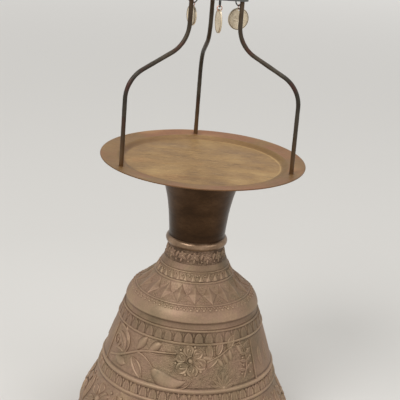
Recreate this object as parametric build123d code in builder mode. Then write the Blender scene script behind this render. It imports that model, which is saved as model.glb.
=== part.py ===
from build123d import *

import os
from math import acos, atan2, cos, degrees, radians, sin, sqrt, tan

# A weighing pan hung on three bent rods, parked on a bell-shaped sheet-brass stand.
# Millimetres, +Z up. The origin is on the floor, at the centre of the stand's foot.

# Stand: foot ring and bottom disc
FOOT_RADIUS = 121.0
FOOT_HEIGHT = 9.0
FOOT_TOP_BEVEL = 2.0
FOOT_EDGE = 4.0
FOOT_FLAT_SETBACK = 3.0
FOOT_TOP_SETBACK = 1.5
FOOT_RING_WIDTH = 7.0
FOOT_LIP_WIDTH = 4.0
FOOT_LIP_HEIGHT = 2.5
BOTTOM_SHEET = 1.6
BOTTOM_CLEARANCE = 0.1

# Stand: bell skirt, measured from the foot ring up
STAND_SHEET = 1.6
SKIRT_BELLY_RADIUS = 117.3
SKIRT_BELLY_RISE = 14.5
SKIRT_FLARE_RADIUS = 104.5
SKIRT_FLARE_RISE = 27.5
LOWER_RIDGE_RADIUS = 94.8
LOWER_RIDGE_RISE = 28.0
UPPER_RIDGE_RADIUS = 79.2
UPPER_RIDGE_RISE = 48.0
SEAM_RADIUS = 74.2
SEAM_RISE = 14.0
SEAM_SEAT = 4.8
LOWER_RIDGE_HEIGHT = 1.3
LOWER_RIDGE_WIDTH = 3.4
UPPER_RIDGE_HEIGHT = 0.9
UPPER_RIDGE_WIDTH = 2.4

# Stand: shoulder dome and collar, measured from the seam up
SHOULDER_SETBACK = 1.0
SHOULDER_SIDE_RADIUS = 72.5
SHOULDER_SIDE_RISE = 7.5
SHOULDER_ROLL_RADIUS = 69.6
SHOULDER_ROLL_RISE = 8.5
DOME_RADIUS = 57.5
DOME_RISE = 10.5
DOME_LINE_RADIUS = 42.8
DOME_LINE_RISE = 13.8
COLLAR_LINE_RADIUS = 37.5
COLLAR_LINE_RISE = 9.9
COLLAR_WAIST_RADIUS = 33.0
COLLAR_WAIST_RISE = 10.8
COLLAR_RADIUS = 30.4
COLLAR_RISE = 11.0
COLLAR_STRAIGHT = 5.0

# Stand: flared neck and the half-round bead over its joint
NECK_STRAIGHT = 5.0
NECK_WAIST_RADIUS = 32.2
NECK_WAIST_RISE = 21.0
NECK_FLARE_RADIUS = 36.2
NECK_FLARE_RISE = 24.0
MOUTH_RADIUS = 48.5
MOUTH_RISE = 35.7
NECK_SPIGOT = 5.0
SPIGOT_CLEARANCE = 0.1
BEAD_HALF_HEIGHT = 4.7
BEAD_STAND_OUT = 3.2
BEAD_CLEARANCE = 0.05

# Pan and the collar under it that drops into the neck
PAN_RADIUS = 110.0
PAN_RIM_WIDTH = 24.0
PAN_DEPTH = 4.9
PAN_SHEET = 1.4
PAN_BEND = 6.0
PAN_COLLAR_CLEARANCE = 1.4
PAN_COLLAR_HEIGHT = 10.0
PAN_COLLAR_SHEET = 1.2

# Three bent rods, by the direction each stands in, seen from above
ROD_LEFT_ANGLE = 212.0
ROD_RIGHT_ANGLE = -18.5
ROD_BACK_ANGLE = 96.3
ROD_ANGLES = {"left": ROD_LEFT_ANGLE, "right": ROD_RIGHT_ANGLE, "back": ROD_BACK_ANGLE}
ROD_DIAMETER = 4.6
ROD_FOOT_SETBACK = 11.7
ROD_TOP_RADIUS = 28.8
ROD_LOWER_CORNER = 90.5
ROD_CORNER_RISE = 34.4
ROD_UPPER_LENGTH = 46.5
ROD_BEND = 33.0
ROD_SIDES = 12
ROD_CLEARANCE = 0.1
RIVET_DIAMETER = 7.0
RIVET_HEIGHT = 1.6
RIVET_TAPER_ANGLE = 30.0
WASHER_SIDE = 11.0
WASHER_THICKNESS = 1.0
WASHER_CLEARANCE = 0.4

# Triangular top plate
PLATE_THICKNESS = 2.5
PLATE_CORNER = 6.2

# Swivel hook
HOOK_WIRE = 5.0
HOOK_SIDES = 8
HOOK_THROAT_RADIUS = 8.5
HOOK_BACK_BEND = 6.0
HOOK_SHANK_RISE = 4.0
HOOK_SWEEP_ANGLE = 255.0
HOOK_TIP_CHAMFER = 0.9
HOOK_COLLAR_DIAMETER = 10.0
HOOK_COLLAR_HEIGHT = 3.2
HOOK_HEAD_DIAMETER = 9.0
HOOK_HEAD_HEIGHT = 2.4
SWIVEL_CLEARANCE = 0.05
SWIVEL_PLAY = 0.3

# Pendants: a split ring through the plate's edge, a jump ring and a coin.
# Each hangs from the plate's edge between two rods, a share of the way along,
# with the flat of its coin lying along the given direction.
PENDANTS = {
    "right": {"edge": ("right", "back"), "along": 0.20, "coin_angle": 25.0, "coin_diameter": 23.0},
    "left": {"edge": ("back", "left"), "along": 0.76, "coin_angle": 117.0, "coin_diameter": 21.4},
    "front": {"edge": ("left", "right"), "along": 0.55, "coin_angle": -76.0, "coin_diameter": 24.6},
}
SPLIT_RING_RADIUS = 5.25
SPLIT_RING_WIRE = 1.3
PENDANT_WEB = 3.2
PENDANT_HOLE_CLEARANCE = 0.25
JUMP_RING_RADIUS = 2.6
JUMP_RING_WIRE = 0.9
LINK_GAP = 0.15
SPLIT_RING_SIDES = 6
JUMP_RING_SIDES = 4
COIN_THICKNESS = 1.4
COIN_HOLE_RADIUS = 1.1
COIN_WEB = 1.2

# Radii and heights that follow from the sizes above
FOOT_FLAT_RADIUS = FOOT_RADIUS - FOOT_FLAT_SETBACK
FOOT_INNER_RADIUS = FOOT_RADIUS - FOOT_RING_WIDTH
SKIRT_FOOT_RADIUS = FOOT_RADIUS - FOOT_TOP_SETBACK
PAN_FLOOR_RADIUS = PAN_RADIUS - PAN_RIM_WIDTH
ROD_FOOT_RADIUS = PAN_RADIUS - ROD_FOOT_SETBACK
BELLY_Z = FOOT_HEIGHT + SKIRT_BELLY_RISE
FLARE_Z = BELLY_Z + SKIRT_FLARE_RISE
LOWER_RIDGE_Z = FLARE_Z + LOWER_RIDGE_RISE
UPPER_RIDGE_Z = LOWER_RIDGE_Z + UPPER_RIDGE_RISE
SEAM_Z = UPPER_RIDGE_Z + SEAM_RISE
SIDE_Z = SEAM_Z + SHOULDER_SIDE_RISE
ROLL_Z = SIDE_Z + SHOULDER_ROLL_RISE
DOME_Z = ROLL_Z + DOME_RISE
DOME_LINE_Z = DOME_Z + DOME_LINE_RISE
COLLAR_LINE_Z = DOME_LINE_Z + COLLAR_LINE_RISE
COLLAR_WAIST_Z = COLLAR_LINE_Z + COLLAR_WAIST_RISE
COLLAR_Z = COLLAR_WAIST_Z + COLLAR_RISE
JOINT_Z = COLLAR_Z + COLLAR_STRAIGHT
NECK_Z = JOINT_Z + NECK_STRAIGHT
WAIST_Z = NECK_Z + NECK_WAIST_RISE
NECK_FLARE_Z = WAIST_Z + NECK_FLARE_RISE
MOUTH_Z = NECK_FLARE_Z + MOUTH_RISE
PAN_FLOOR_Z = MOUTH_Z + PAN_SHEET
RIM_Z = PAN_FLOOR_Z + PAN_DEPTH
RIM_SLOPE = atan2(PAN_DEPTH, PAN_RIM_WIDTH)
ROD_FOOT_Z = PAN_FLOOR_Z + (ROD_FOOT_RADIUS - PAN_FLOOR_RADIUS) * tan(RIM_SLOPE)
PLATE_Z = RIM_Z + ROD_LOWER_CORNER + ROD_CORNER_RISE + ROD_UPPER_LENGTH
PLATE_TOP_Z = PLATE_Z + PLATE_THICKNESS
COLLAR_INNER_RADIUS = COLLAR_RADIUS - STAND_SHEET
ROD_HOLE_RADIUS = ROD_DIAMETER / 2 + ROD_CLEARANCE

os.makedirs("parts", exist_ok=True)


def inner_stations(stations, wall):
    """Points of a sheet's inner side: each outer station moved in by the wall, square to the outline."""
    inner = []
    for index, (radius, height) in enumerate(stations):
        before = stations[max(index - 1, 0)]
        after = stations[min(index + 1, len(stations) - 1)]
        run = Vector(after[0] - before[0], after[1] - before[1]).normalized()
        inner.append((radius - wall * run.Y, height + wall * run.X))
    inner[0] = (stations[0][0] - wall, stations[0][1])
    inner[-1] = (stations[-1][0] - wall, stations[-1][1])
    return inner


def radial_point(radius, angle, height):
    """A point at a radius and a direction from the axis, at a height."""
    return Vector(radius * cos(radians(angle)), radius * sin(radians(angle)), height)


def radial_plane(angle):
    """The upright plane through the axis in one direction: local x is the radius, local y the height."""
    outward = radial_point(1, angle, 0)
    return Plane(origin=(0, 0, 0), x_dir=outward, z_dir=outward.cross(Vector(0, 0, 1)))


def under_rim_plane(angle, depth):
    """The plane under the pan's sloping rim at a rod's foot, a depth below its top face, facing down."""
    height = ROD_FOOT_Z - depth / cos(RIM_SLOPE)
    facing = radial_point(sin(RIM_SLOPE), angle, -cos(RIM_SLOPE))
    sideways = Vector(0, 0, 1).cross(facing)
    return Plane(origin=radial_point(ROD_FOOT_RADIUS, angle, height), x_dir=sideways, z_dir=facing)


# Foot ring: bevelled outside, with an inner lip that carries the bottom disc
with BuildPart() as foot_ring:
    with BuildSketch(Plane.XZ):
        with BuildLine():
            Polyline(
                (FOOT_FLAT_RADIUS, 0),
                (FOOT_INNER_RADIUS - FOOT_LIP_WIDTH, 0),
                (FOOT_INNER_RADIUS - FOOT_LIP_WIDTH, FOOT_LIP_HEIGHT),
                (FOOT_INNER_RADIUS, FOOT_LIP_HEIGHT),
                (FOOT_INNER_RADIUS, FOOT_HEIGHT),
                (SKIRT_FOOT_RADIUS, FOOT_HEIGHT),
                (FOOT_RADIUS, FOOT_HEIGHT - FOOT_TOP_BEVEL),
                (FOOT_RADIUS, FOOT_HEIGHT - FOOT_TOP_BEVEL - FOOT_EDGE),
                close=True,
            )
        make_face()
    revolve(axis=Axis.Z)
foot_ring.part.label = "foot_ring"
export_step(foot_ring.part, "parts/foot_ring.step")

# Bottom disc, laid on the foot ring's lip
with BuildPart() as bottom_disc:
    with BuildSketch(Plane.XY.offset(FOOT_LIP_HEIGHT)):
        Circle(FOOT_INNER_RADIUS - BOTTOM_CLEARANCE)
    extrude(amount=BOTTOM_SHEET)
bottom_disc.part.label = "bottom_disc"
export_step(bottom_disc.part, "parts/bottom_disc.step")

# Bell skirt: a sheet from the foot ring to the seam, turned in at the top as a seat, with two raised ridges
skirt_outline = [
    (SKIRT_FOOT_RADIUS, FOOT_HEIGHT),
    (SKIRT_BELLY_RADIUS, BELLY_Z),
    (SKIRT_FLARE_RADIUS, FLARE_Z),
    (LOWER_RIDGE_RADIUS, LOWER_RIDGE_Z),
    (UPPER_RIDGE_RADIUS, UPPER_RIDGE_Z),
    (SEAM_RADIUS, SEAM_Z),
]
skirt_inside = inner_stations(skirt_outline, STAND_SHEET)
skirt_inside[-1] = (SEAM_RADIUS - STAND_SHEET, SEAM_Z - STAND_SHEET)
ridges = [
    (LOWER_RIDGE_RADIUS, LOWER_RIDGE_Z, LOWER_RIDGE_HEIGHT, LOWER_RIDGE_WIDTH),
    (UPPER_RIDGE_RADIUS, UPPER_RIDGE_Z, UPPER_RIDGE_HEIGHT, UPPER_RIDGE_WIDTH),
]
with BuildPart() as bell_skirt:
    with BuildSketch(Plane.XZ):
        with BuildLine():
            Spline(*skirt_outline)
            Polyline(
                (SEAM_RADIUS, SEAM_Z),
                (SEAM_RADIUS - SEAM_SEAT, SEAM_Z),
                (SEAM_RADIUS - SEAM_SEAT, SEAM_Z - STAND_SHEET),
                skirt_inside[-1],
            )
            Spline(*reversed(skirt_inside))
            Line(skirt_inside[0], skirt_outline[0])
        make_face()
    revolve(axis=Axis.Z)
    for radius, height, stand_out, width in ridges:
        with BuildSketch(Plane.XZ):
            with BuildLine():
                Polyline(
                    (radius - stand_out, height - width / 2),
                    (radius + stand_out, height),
                    (radius - stand_out, height + width / 2),
                    close=True,
                )
            make_face()
        revolve(axis=Axis.Z)
bell_skirt.part.label = "bell_skirt"
export_step(bell_skirt.part, "parts/bell_skirt.step")

# Shoulder: a rounded roll at the seam, a dome and a collar
shoulder_outline = [
    (SEAM_RADIUS - SHOULDER_SETBACK, SEAM_Z),
    (SHOULDER_SIDE_RADIUS, SIDE_Z),
    (SHOULDER_ROLL_RADIUS, ROLL_Z),
    (DOME_RADIUS, DOME_Z),
    (DOME_LINE_RADIUS, DOME_LINE_Z),
    (COLLAR_LINE_RADIUS, COLLAR_LINE_Z),
    (COLLAR_WAIST_RADIUS, COLLAR_WAIST_Z),
    (COLLAR_RADIUS, COLLAR_Z),
]
shoulder_inside = inner_stations(shoulder_outline, STAND_SHEET)
with BuildPart() as shoulder:
    with BuildSketch(Plane.XZ):
        with BuildLine():
            Spline(*shoulder_outline)
            Polyline(
                (COLLAR_RADIUS, COLLAR_Z),
                (COLLAR_RADIUS, JOINT_Z),
                (COLLAR_INNER_RADIUS, JOINT_Z),
                (COLLAR_INNER_RADIUS, COLLAR_Z),
            )
            Spline(*reversed(shoulder_inside))
            Line(shoulder_inside[0], shoulder_outline[0])
        make_face()
    revolve(axis=Axis.Z)
shoulder.part.label = "shoulder"
export_step(shoulder.part, "parts/shoulder.step")

# Neck: a trumpet that stands on the collar, with a spigot inside it and a mouth that carries the pan
neck_outline = [
    (COLLAR_RADIUS, NECK_Z),
    (NECK_WAIST_RADIUS, WAIST_Z),
    (NECK_FLARE_RADIUS, NECK_FLARE_Z),
    (MOUTH_RADIUS, MOUTH_Z),
]
neck_inside = inner_stations(neck_outline, STAND_SHEET)
SPIGOT_RADIUS = COLLAR_INNER_RADIUS - SPIGOT_CLEARANCE
SPIGOT_INNER_RADIUS = SPIGOT_RADIUS - STAND_SHEET
with BuildPart() as neck:
    with BuildSketch(Plane.XZ):
        with BuildLine():
            Spline(*neck_outline)
            Line(neck_outline[-1], neck_inside[-1])
            Spline(*reversed(neck_inside))
            Polyline(
                neck_inside[0],
                (SPIGOT_INNER_RADIUS, JOINT_Z),
                (SPIGOT_INNER_RADIUS, JOINT_Z - NECK_SPIGOT),
                (SPIGOT_RADIUS, JOINT_Z - NECK_SPIGOT),
                (SPIGOT_RADIUS, JOINT_Z),
                (COLLAR_RADIUS, JOINT_Z),
                neck_outline[0],
            )
        make_face()
    revolve(axis=Axis.Z)
neck.part.label = "neck"
export_step(neck.part, "parts/neck.step")

# Bead: a half-round ring over the joint between collar and neck
BEAD_INNER_RADIUS = COLLAR_RADIUS + BEAD_CLEARANCE
with BuildPart() as neck_bead:
    with BuildSketch(Plane.XZ):
        with BuildLine():
            ThreePointArc(
                (BEAD_INNER_RADIUS, JOINT_Z - BEAD_HALF_HEIGHT),
                (COLLAR_RADIUS + BEAD_STAND_OUT, JOINT_Z),
                (BEAD_INNER_RADIUS, JOINT_Z + BEAD_HALF_HEIGHT),
            )
            Line(
                (BEAD_INNER_RADIUS, JOINT_Z + BEAD_HALF_HEIGHT),
                (BEAD_INNER_RADIUS, JOINT_Z - BEAD_HALF_HEIGHT),
            )
        make_face()
    revolve(axis=Axis.Z)
neck_bead.part.label = "neck_bead"
export_step(neck_bead.part, "parts/neck_bead.step")

# Pan: a flat round floor and a sloping rim in one sheet, with a hole for each rod
rod_feet = [radial_point(ROD_FOOT_RADIUS, angle, ROD_FOOT_Z) for angle in ROD_ANGLES.values()]
with BuildPart() as pan:
    with BuildSketch(Plane.XZ):
        with BuildLine():
            FilletPolyline(
                (0, MOUTH_Z + PAN_SHEET / 2),
                (PAN_FLOOR_RADIUS, MOUTH_Z + PAN_SHEET / 2),
                (PAN_RADIUS, MOUTH_Z + PAN_SHEET / 2 + PAN_DEPTH),
                radius=PAN_BEND,
            )
        trace(line_width=PAN_SHEET)
    revolve(axis=Axis.Z)
    with Locations(*rod_feet):
        Cylinder(ROD_HOLE_RADIUS, PAN_DEPTH + PAN_SHEET, mode=Mode.SUBTRACT)
pan.part.label = "pan"
export_step(pan.part, "parts/pan.step")

# Collar soldered under the pan, loose in the neck's mouth
collar_depth_share = PAN_COLLAR_HEIGHT / MOUTH_RISE
mouth_inner_radius = neck_inside[-1][0] + (neck_inside[-2][0] - neck_inside[-1][0]) * collar_depth_share
PAN_COLLAR_RADIUS = mouth_inner_radius - PAN_COLLAR_CLEARANCE
with BuildPart() as pan_collar:
    with BuildSketch(Plane.XY.offset(MOUTH_Z - PAN_COLLAR_HEIGHT)):
        Circle(PAN_COLLAR_RADIUS)
        Circle(PAN_COLLAR_RADIUS - PAN_COLLAR_SHEET, mode=Mode.SUBTRACT)
    extrude(amount=PAN_COLLAR_HEIGHT)
pan_collar.part.label = "pan_collar"
export_step(pan_collar.part, "parts/pan_collar.step")

# Rods: through the pan's rim, upright, bent in and up through the plate, riveted over at both ends
for name, angle in ROD_ANGLES.items():
    foot_rivet = under_rim_plane(angle, PAN_SHEET + WASHER_THICKNESS)
    top_rivet = Plane(origin=radial_point(ROD_TOP_RADIUS, angle, PLATE_TOP_Z))
    with BuildPart() as rod:
        with BuildLine(radial_plane(angle)) as rod_path:
            FilletPolyline(
                (ROD_FOOT_RADIUS, foot_rivet.origin.Z),
                (ROD_FOOT_RADIUS, RIM_Z + ROD_LOWER_CORNER),
                (ROD_TOP_RADIUS, RIM_Z + ROD_LOWER_CORNER + ROD_CORNER_RISE),
                (ROD_TOP_RADIUS, PLATE_TOP_Z),
                radius=ROD_BEND,
            )
        with BuildSketch(Plane(origin=rod_path.line @ 0, z_dir=rod_path.line % 0)):
            RegularPolygon(ROD_DIAMETER / 2, ROD_SIDES)
        sweep()
        for rivet in (foot_rivet, top_rivet):
            with BuildSketch(rivet):
                RegularPolygon(RIVET_DIAMETER / 2, ROD_SIDES)
            extrude(amount=RIVET_HEIGHT, taper=RIVET_TAPER_ANGLE)
    rod.part.label = f"rod_{name}"
    export_step(rod.part, f"parts/rod_{name}.step")

# Square washers under the pan's rim, one to a rod
with BuildPart() as rod_washers:
    for angle in ROD_ANGLES.values():
        with BuildSketch(under_rim_plane(angle, PAN_SHEET)):
            Rectangle(WASHER_SIDE, WASHER_SIDE)
            RegularPolygon(ROD_DIAMETER / 2 + WASHER_CLEARANCE, ROD_SIDES, mode=Mode.SUBTRACT)
        extrude(amount=WASHER_THICKNESS)
rod_washers.part.label = "rod_washers"
export_step(rod_washers.part, "parts/rod_washers.step")

# Where each pendant hangs: the split ring rests on the web between its hole and the plate's edge
SPLIT_RING_INNER = SPLIT_RING_RADIUS - SPLIT_RING_WIRE / 2
SPLIT_RING_OUTER = SPLIT_RING_RADIUS + SPLIT_RING_WIRE / 2
RING_DROP = sqrt(SPLIT_RING_INNER**2 - (PENDANT_WEB / 2) ** 2) - LINK_GAP
WIRE_REACH = sqrt(SPLIT_RING_OUTER**2 - (RING_DROP - PLATE_THICKNESS) ** 2)
PENDANT_HOLE_REACH = WIRE_REACH + PENDANT_HOLE_CLEARANCE
PENDANT_HOLE_RADIUS = (PENDANT_HOLE_REACH - PENDANT_WEB / 2) / 2
PENDANT_HOLE_OFFSET = PENDANT_WEB / 2 + PENDANT_HOLE_RADIUS
RING_Z = PLATE_TOP_Z - RING_DROP
LINK_PITCH = SPLIT_RING_INNER + JUMP_RING_RADIUS - JUMP_RING_WIRE / 2 - LINK_GAP
JUMP_RING_Z = RING_Z - LINK_PITCH
COIN_HOLE_Z = JUMP_RING_Z - JUMP_RING_RADIUS + JUMP_RING_WIRE / 2 + LINK_GAP - COIN_HOLE_RADIUS
COIN_TOP_Z = COIN_HOLE_Z + COIN_HOLE_RADIUS + COIN_WEB

hangers = {}
for name, pendant in PENDANTS.items():
    first, second = (radial_point(ROD_TOP_RADIUS, ROD_ANGLES[rod], 0) for rod in pendant["edge"])
    along_edge = (second - first).normalized()
    outward = along_edge.cross(Vector(0, 0, 1))
    edge_point = first + (second - first) * pendant["along"] + outward * PLATE_CORNER
    hangers[name] = {
        "along_edge": along_edge,
        "outward": outward,
        "ring_place": edge_point - outward * (PENDANT_WEB / 2),
        "hole_place": edge_point - outward * (PENDANT_WEB / 2 + PENDANT_HOLE_OFFSET),
    }

# Top plate: a triangle with round corners about the rods
rod_tops = [radial_point(ROD_TOP_RADIUS, angle, 0) for angle in ROD_ANGLES.values()]
HOOK_BORE_RADIUS = HOOK_WIRE / 2 + SWIVEL_CLEARANCE
with BuildPart() as top_plate:
    with BuildSketch(Plane.XY.offset(PLATE_Z)):
        with Locations(*rod_tops):
            Circle(PLATE_CORNER)
        make_hull()
        with Locations(*rod_tops):
            Circle(ROD_HOLE_RADIUS, mode=Mode.SUBTRACT)
        with Locations(*(hanger["hole_place"] for hanger in hangers.values())):
            Circle(PENDANT_HOLE_RADIUS, mode=Mode.SUBTRACT)
        Circle(HOOK_BORE_RADIUS, mode=Mode.SUBTRACT)
    extrude(amount=PLATE_THICKNESS)
top_plate.part.label = "top_plate"
export_step(top_plate.part, "parts/top_plate.step")

# Swivel hook: a shank through the plate with a collar above and a riveted head below, bent to an open hook
HOOK_BOW = HOOK_THROAT_RADIUS + HOOK_WIRE / 2
HOOK_TURN = degrees(acos(HOOK_BACK_BEND / (HOOK_BACK_BEND + HOOK_BOW)))
HOOK_COLLAR_Z = PLATE_TOP_Z + SWIVEL_PLAY
HOOK_HEAD_Z = PLATE_Z - SWIVEL_PLAY
HOOK_WIRE_Z = HOOK_COLLAR_Z + HOOK_COLLAR_HEIGHT
with BuildPart() as swivel_hook:
    with BuildLine(Plane.XZ) as hook_path:
        shank = Line((0, HOOK_WIRE_Z), (0, HOOK_WIRE_Z + HOOK_SHANK_RISE))
        back = JernArc(start=shank @ 1, tangent=shank % 1, radius=HOOK_BACK_BEND, arc_size=-HOOK_TURN)
        JernArc(start=back @ 1, tangent=back % 1, radius=HOOK_BOW, arc_size=HOOK_SWEEP_ANGLE)
    with BuildSketch(Plane.XY.offset(HOOK_WIRE_Z)):
        RegularPolygon(HOOK_WIRE / 2, HOOK_SIDES)
    sweep()
    hook_tip = swivel_hook.faces().sort_by_distance(hook_path.wires()[0] @ 1)[0]
    chamfer(hook_tip.edges(), HOOK_TIP_CHAMFER)
    with BuildSketch(Plane.XY.offset(HOOK_COLLAR_Z)):
        Circle(HOOK_COLLAR_DIAMETER / 2)
    extrude(amount=HOOK_COLLAR_HEIGHT)
    with BuildSketch(Plane.XY.offset(HOOK_COLLAR_Z)):
        Circle(HOOK_WIRE / 2)
    extrude(amount=HOOK_HEAD_Z - HOOK_COLLAR_Z)
    with BuildSketch(Plane.XY.offset(HOOK_HEAD_Z)):
        Circle(HOOK_HEAD_DIAMETER / 2)
    extrude(amount=-HOOK_HEAD_HEIGHT)
swivel_hook.part.label = "swivel_hook"
export_step(swivel_hook.part, "parts/swivel_hook.step")

# Pendants: each split ring stands square to the plate's edge, each jump ring square to its coin
for name, pendant in PENDANTS.items():
    hanger = hangers[name]
    ring_centre = hanger["ring_place"] + Vector(0, 0, RING_Z)
    ring_section = Plane(origin=ring_centre, x_dir=(0, 0, 1), z_dir=hanger["outward"])
    with BuildPart() as split_ring:
        with BuildSketch(ring_section):
            with Locations((SPLIT_RING_RADIUS, 0)):
                RegularPolygon(SPLIT_RING_WIRE / 2, SPLIT_RING_SIDES, rotation=180 / SPLIT_RING_SIDES)
        revolve(axis=Axis(ring_centre, hanger["along_edge"]))
    split_ring.part.label = f"split_ring_{name}"
    export_step(split_ring.part, f"parts/split_ring_{name}.step")

    coin_across = radial_point(1, pendant["coin_angle"], 0)
    coin_facing = coin_across.cross(Vector(0, 0, 1))
    jump_centre = hanger["ring_place"] + Vector(0, 0, JUMP_RING_Z)
    jump_section = Plane(origin=jump_centre, x_dir=(0, 0, 1), z_dir=coin_facing)
    with BuildPart() as jump_ring:
        with BuildSketch(jump_section):
            with Locations((JUMP_RING_RADIUS, 0)):
                RegularPolygon(JUMP_RING_WIRE / 2, JUMP_RING_SIDES, rotation=180 / JUMP_RING_SIDES)
        revolve(axis=Axis(jump_centre, coin_across))
    jump_ring.part.label = f"jump_ring_{name}"
    export_step(jump_ring.part, f"parts/jump_ring_{name}.step")

    coin_radius = pendant["coin_diameter"] / 2
    coin_centre = hanger["ring_place"] + Vector(0, 0, COIN_TOP_Z - coin_radius)
    coin_plane = Plane(origin=coin_centre, x_dir=coin_across, z_dir=coin_facing)
    with BuildPart() as coin:
        with BuildSketch(coin_plane.offset(-COIN_THICKNESS / 2)):
            Circle(coin_radius)
        extrude(amount=COIN_THICKNESS)
        with BuildSketch(coin_plane):
            with Locations((0, COIN_HOLE_Z - coin_centre.Z)):
                Circle(COIN_HOLE_RADIUS)
        extrude(amount=COIN_THICKNESS, both=True, mode=Mode.SUBTRACT)
    coin.part.label = f"coin_{name}"
    export_step(coin.part, f"parts/coin_{name}.step")
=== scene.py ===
from math import acos, cos, pi, radians, sin, tau

import bmesh
import bpy
import numpy as np
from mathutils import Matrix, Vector


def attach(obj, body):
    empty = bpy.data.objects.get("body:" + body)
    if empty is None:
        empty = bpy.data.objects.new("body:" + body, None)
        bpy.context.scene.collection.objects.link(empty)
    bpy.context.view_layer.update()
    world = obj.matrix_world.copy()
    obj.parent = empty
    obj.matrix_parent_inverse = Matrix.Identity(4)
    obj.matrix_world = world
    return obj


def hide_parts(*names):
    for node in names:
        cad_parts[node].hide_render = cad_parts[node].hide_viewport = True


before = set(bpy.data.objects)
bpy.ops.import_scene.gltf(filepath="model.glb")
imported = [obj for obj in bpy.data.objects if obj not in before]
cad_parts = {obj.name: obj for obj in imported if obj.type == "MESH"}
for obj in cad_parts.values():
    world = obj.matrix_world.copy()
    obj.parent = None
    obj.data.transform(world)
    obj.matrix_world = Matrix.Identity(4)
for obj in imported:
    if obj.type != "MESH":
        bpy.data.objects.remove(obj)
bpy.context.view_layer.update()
scene = bpy.context.scene
MM = 0.001
UP = Vector((0, 0, 1))

# Stations (radius, height) of the stand's sheets, in millimetres, as in the solids
SKIRT = [(119.5, 9.0), (117.3, 23.5), (104.5, 51.0), (94.8, 79.0), (79.2, 127.0), (74.2, 141.0)]
SHOULDER = [
    (73.2, 141.0), (72.5, 148.5), (69.6, 157.0), (57.5, 167.5),
    (42.8, 181.3), (37.5, 191.2), (33.0, 202.0), (30.4, 213.0),
]
NECK = [(30.4, 223.0), (32.2, 244.0), (36.2, 268.0), (48.5, 303.7)]
FOOT_SOLE = [(110.4, 0.0), (117.6, 0.0)]
FOOT_SIDE = [(118.4, 0.3), (120.6, 2.4), (121.0, 5.0), (120.6, 7.6), (119.6, 8.9)]
FOOT_INSIDE = [(114.4, 9.0), (114.0, 8.6), (114.0, 2.5), (110.0, 2.5), (110.0, 0.4)]
STAND_SHEET = 1.6
JOINT_Z = 218.0
BEAD_HALF_HEIGHT = 4.7
BEAD_STAND_OUT = 3.2
BEAD_SEAT = 30.45

# Raised lines on the stand's sheets: height, width and how far they stand out
SKIRT_LINES = [(139.9, 1.8, 0.7), (126.9, 2.8, 1.3), (79.0, 4.6, 1.6), (64.6, 3.4, 1.2), (20.5, 2.6, 1.0)]
SHOULDER_LINES = [(191.4, 1.5, 0.7), (181.6, 1.7, 0.75), (164.0, 1.0, 0.22)]

# Grounds: lower and upper height, first and last degree of each half turn, depth of punching, darkness
SKIRT_GROUNDS = [
    (128.4, 139.0, -90, 90, 0.0, 0.5),
    (81.5, 125.2, -90, 90, 0.0, 0.22),
    (81.5, 125.2, -72, -12, 0.35, -0.14),
    (81.5, 125.2, -12, 54, 0.8, -0.12),
    (66.6, 76.4, -90, 90, 0.5, 0.1),
    (24.0, 62.6, -90, 90, 0.5, 0.04),
]
SHOULDER_GROUNDS = [
    (164.8, 180.4, -90, 90, 0.22, 0.0),
    (182.6, 190.6, -90, 90, 0.4, 0.15),
    (192.5, 199.0, -90, 90, 0.0, 0.25),
    (199.0, 216.0, -90, 90, 1.0, 0.6),
    # The band right under the bead is darker partly from dirt and partly as painted shadow of the bead
    (208.0, 216.0, -90, 90, 1.0, 0.45),
]

# The dome's lip: height, how far it stands out, darkness
# The darkness in the cove under the lip is painted shadow; the light on its crest is wear and painted
# highlight
SHOULDER_LIP = [
    (141.6, 0.0, 0.1), (142.6, -0.4, 0.35), (144.8, -0.8, 0.3), (147.0, -0.9, 0.75), (148.0, 0.4, 0.2),
    (149.0, 0.8, -0.15), (152.0, 0.6, -0.05), (157.5, 0.2, 0.0), (161.0, 0.0, 0.0),
]

# Grooves beside a raised line, and their dirt: place and breadth in its half widths, and depth or share
GROOVE_AT, GROOVE_BREADTH, GROOVE_DEPTH = 1.35, 0.28, 0.3
GROOVE_DIRT_AT, GROOVE_DIRT_BREADTH, GROOVE_DIRT = 1.4, 0.35, 0.8
# Brightening of a raised line's crest: partly wear, partly painted highlight
CREST_WEAR_AND_HIGHLIGHT = 0.3

# Hand work on the stand's sheets: depth in millimetres or share of tarnish, and reach in steps of the grid
SHEET_DENTS = [(0.35, 14), (0.1, 3)]
SHEET_SPREAD, SHEET_SPREAD_REACH = 0.2, 8
PATCHINESS, PATCH_REACH = 0.9, 9
STIPPLE_REACH = 0.9
PUNCH_DEPTH = 0.3
PUNCH_WEAR = 0.6
INSIDE_TARNISH = 0.6

# Neck, bead and foot: dents as on the sheets, and tarnish by its level, its spread and the spread's reach
NECK_DENTS, NECK_TARNISH = [(0.22, 9), (0.05, 2)], (0.1, 0.3, 7)
NECK_FOOT_TARNISH, NECK_FOOT_BREADTH = 0.35, 7.0
BEAD_DENTS, BEAD_TARNISH = [(0.10, 4)], (0.14, 0.25, 4)
BEAD_EDGE_TARNISH = 0.7
FOOT_TARNISH = (0.2, 0.25, 5)

# Lines left by the spinning of the neck: heights, depth and breadth
SPUN_LINES = [226.0, 229.5, 232.0, 249.0, 276.0, 291.0]
SPUN_DEPTH, SPUN_BREADTH = 0.10, 0.5

# How finely the turned pieces are divided, up and round, and where their unevenness starts from
SKIRT_GRID, SKIRT_SEED = (150, 520), 11
SHOULDER_GRID, SHOULDER_SEED = (140, 420), 31
NECK_GRID, NECK_SEED = (90, 192), 50
BEAD_GRID, BEAD_SEED = (17, 168), 60
FOOT_SIDES, FOOT_SEED = 240, 70
PAN_SIDES, PAN_SEED = 320, 80
SPLINE_STEPS = 3000
INSIDE_STRIDE = 6

# Points nearer than this, in metres, are one; an edge is sharp from this angle, in degrees
SHEET_WELD, SHEET_SHARP = 1e-6, 50
BAR_WELD, BAR_SHARP = 1e-7, 60

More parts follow.
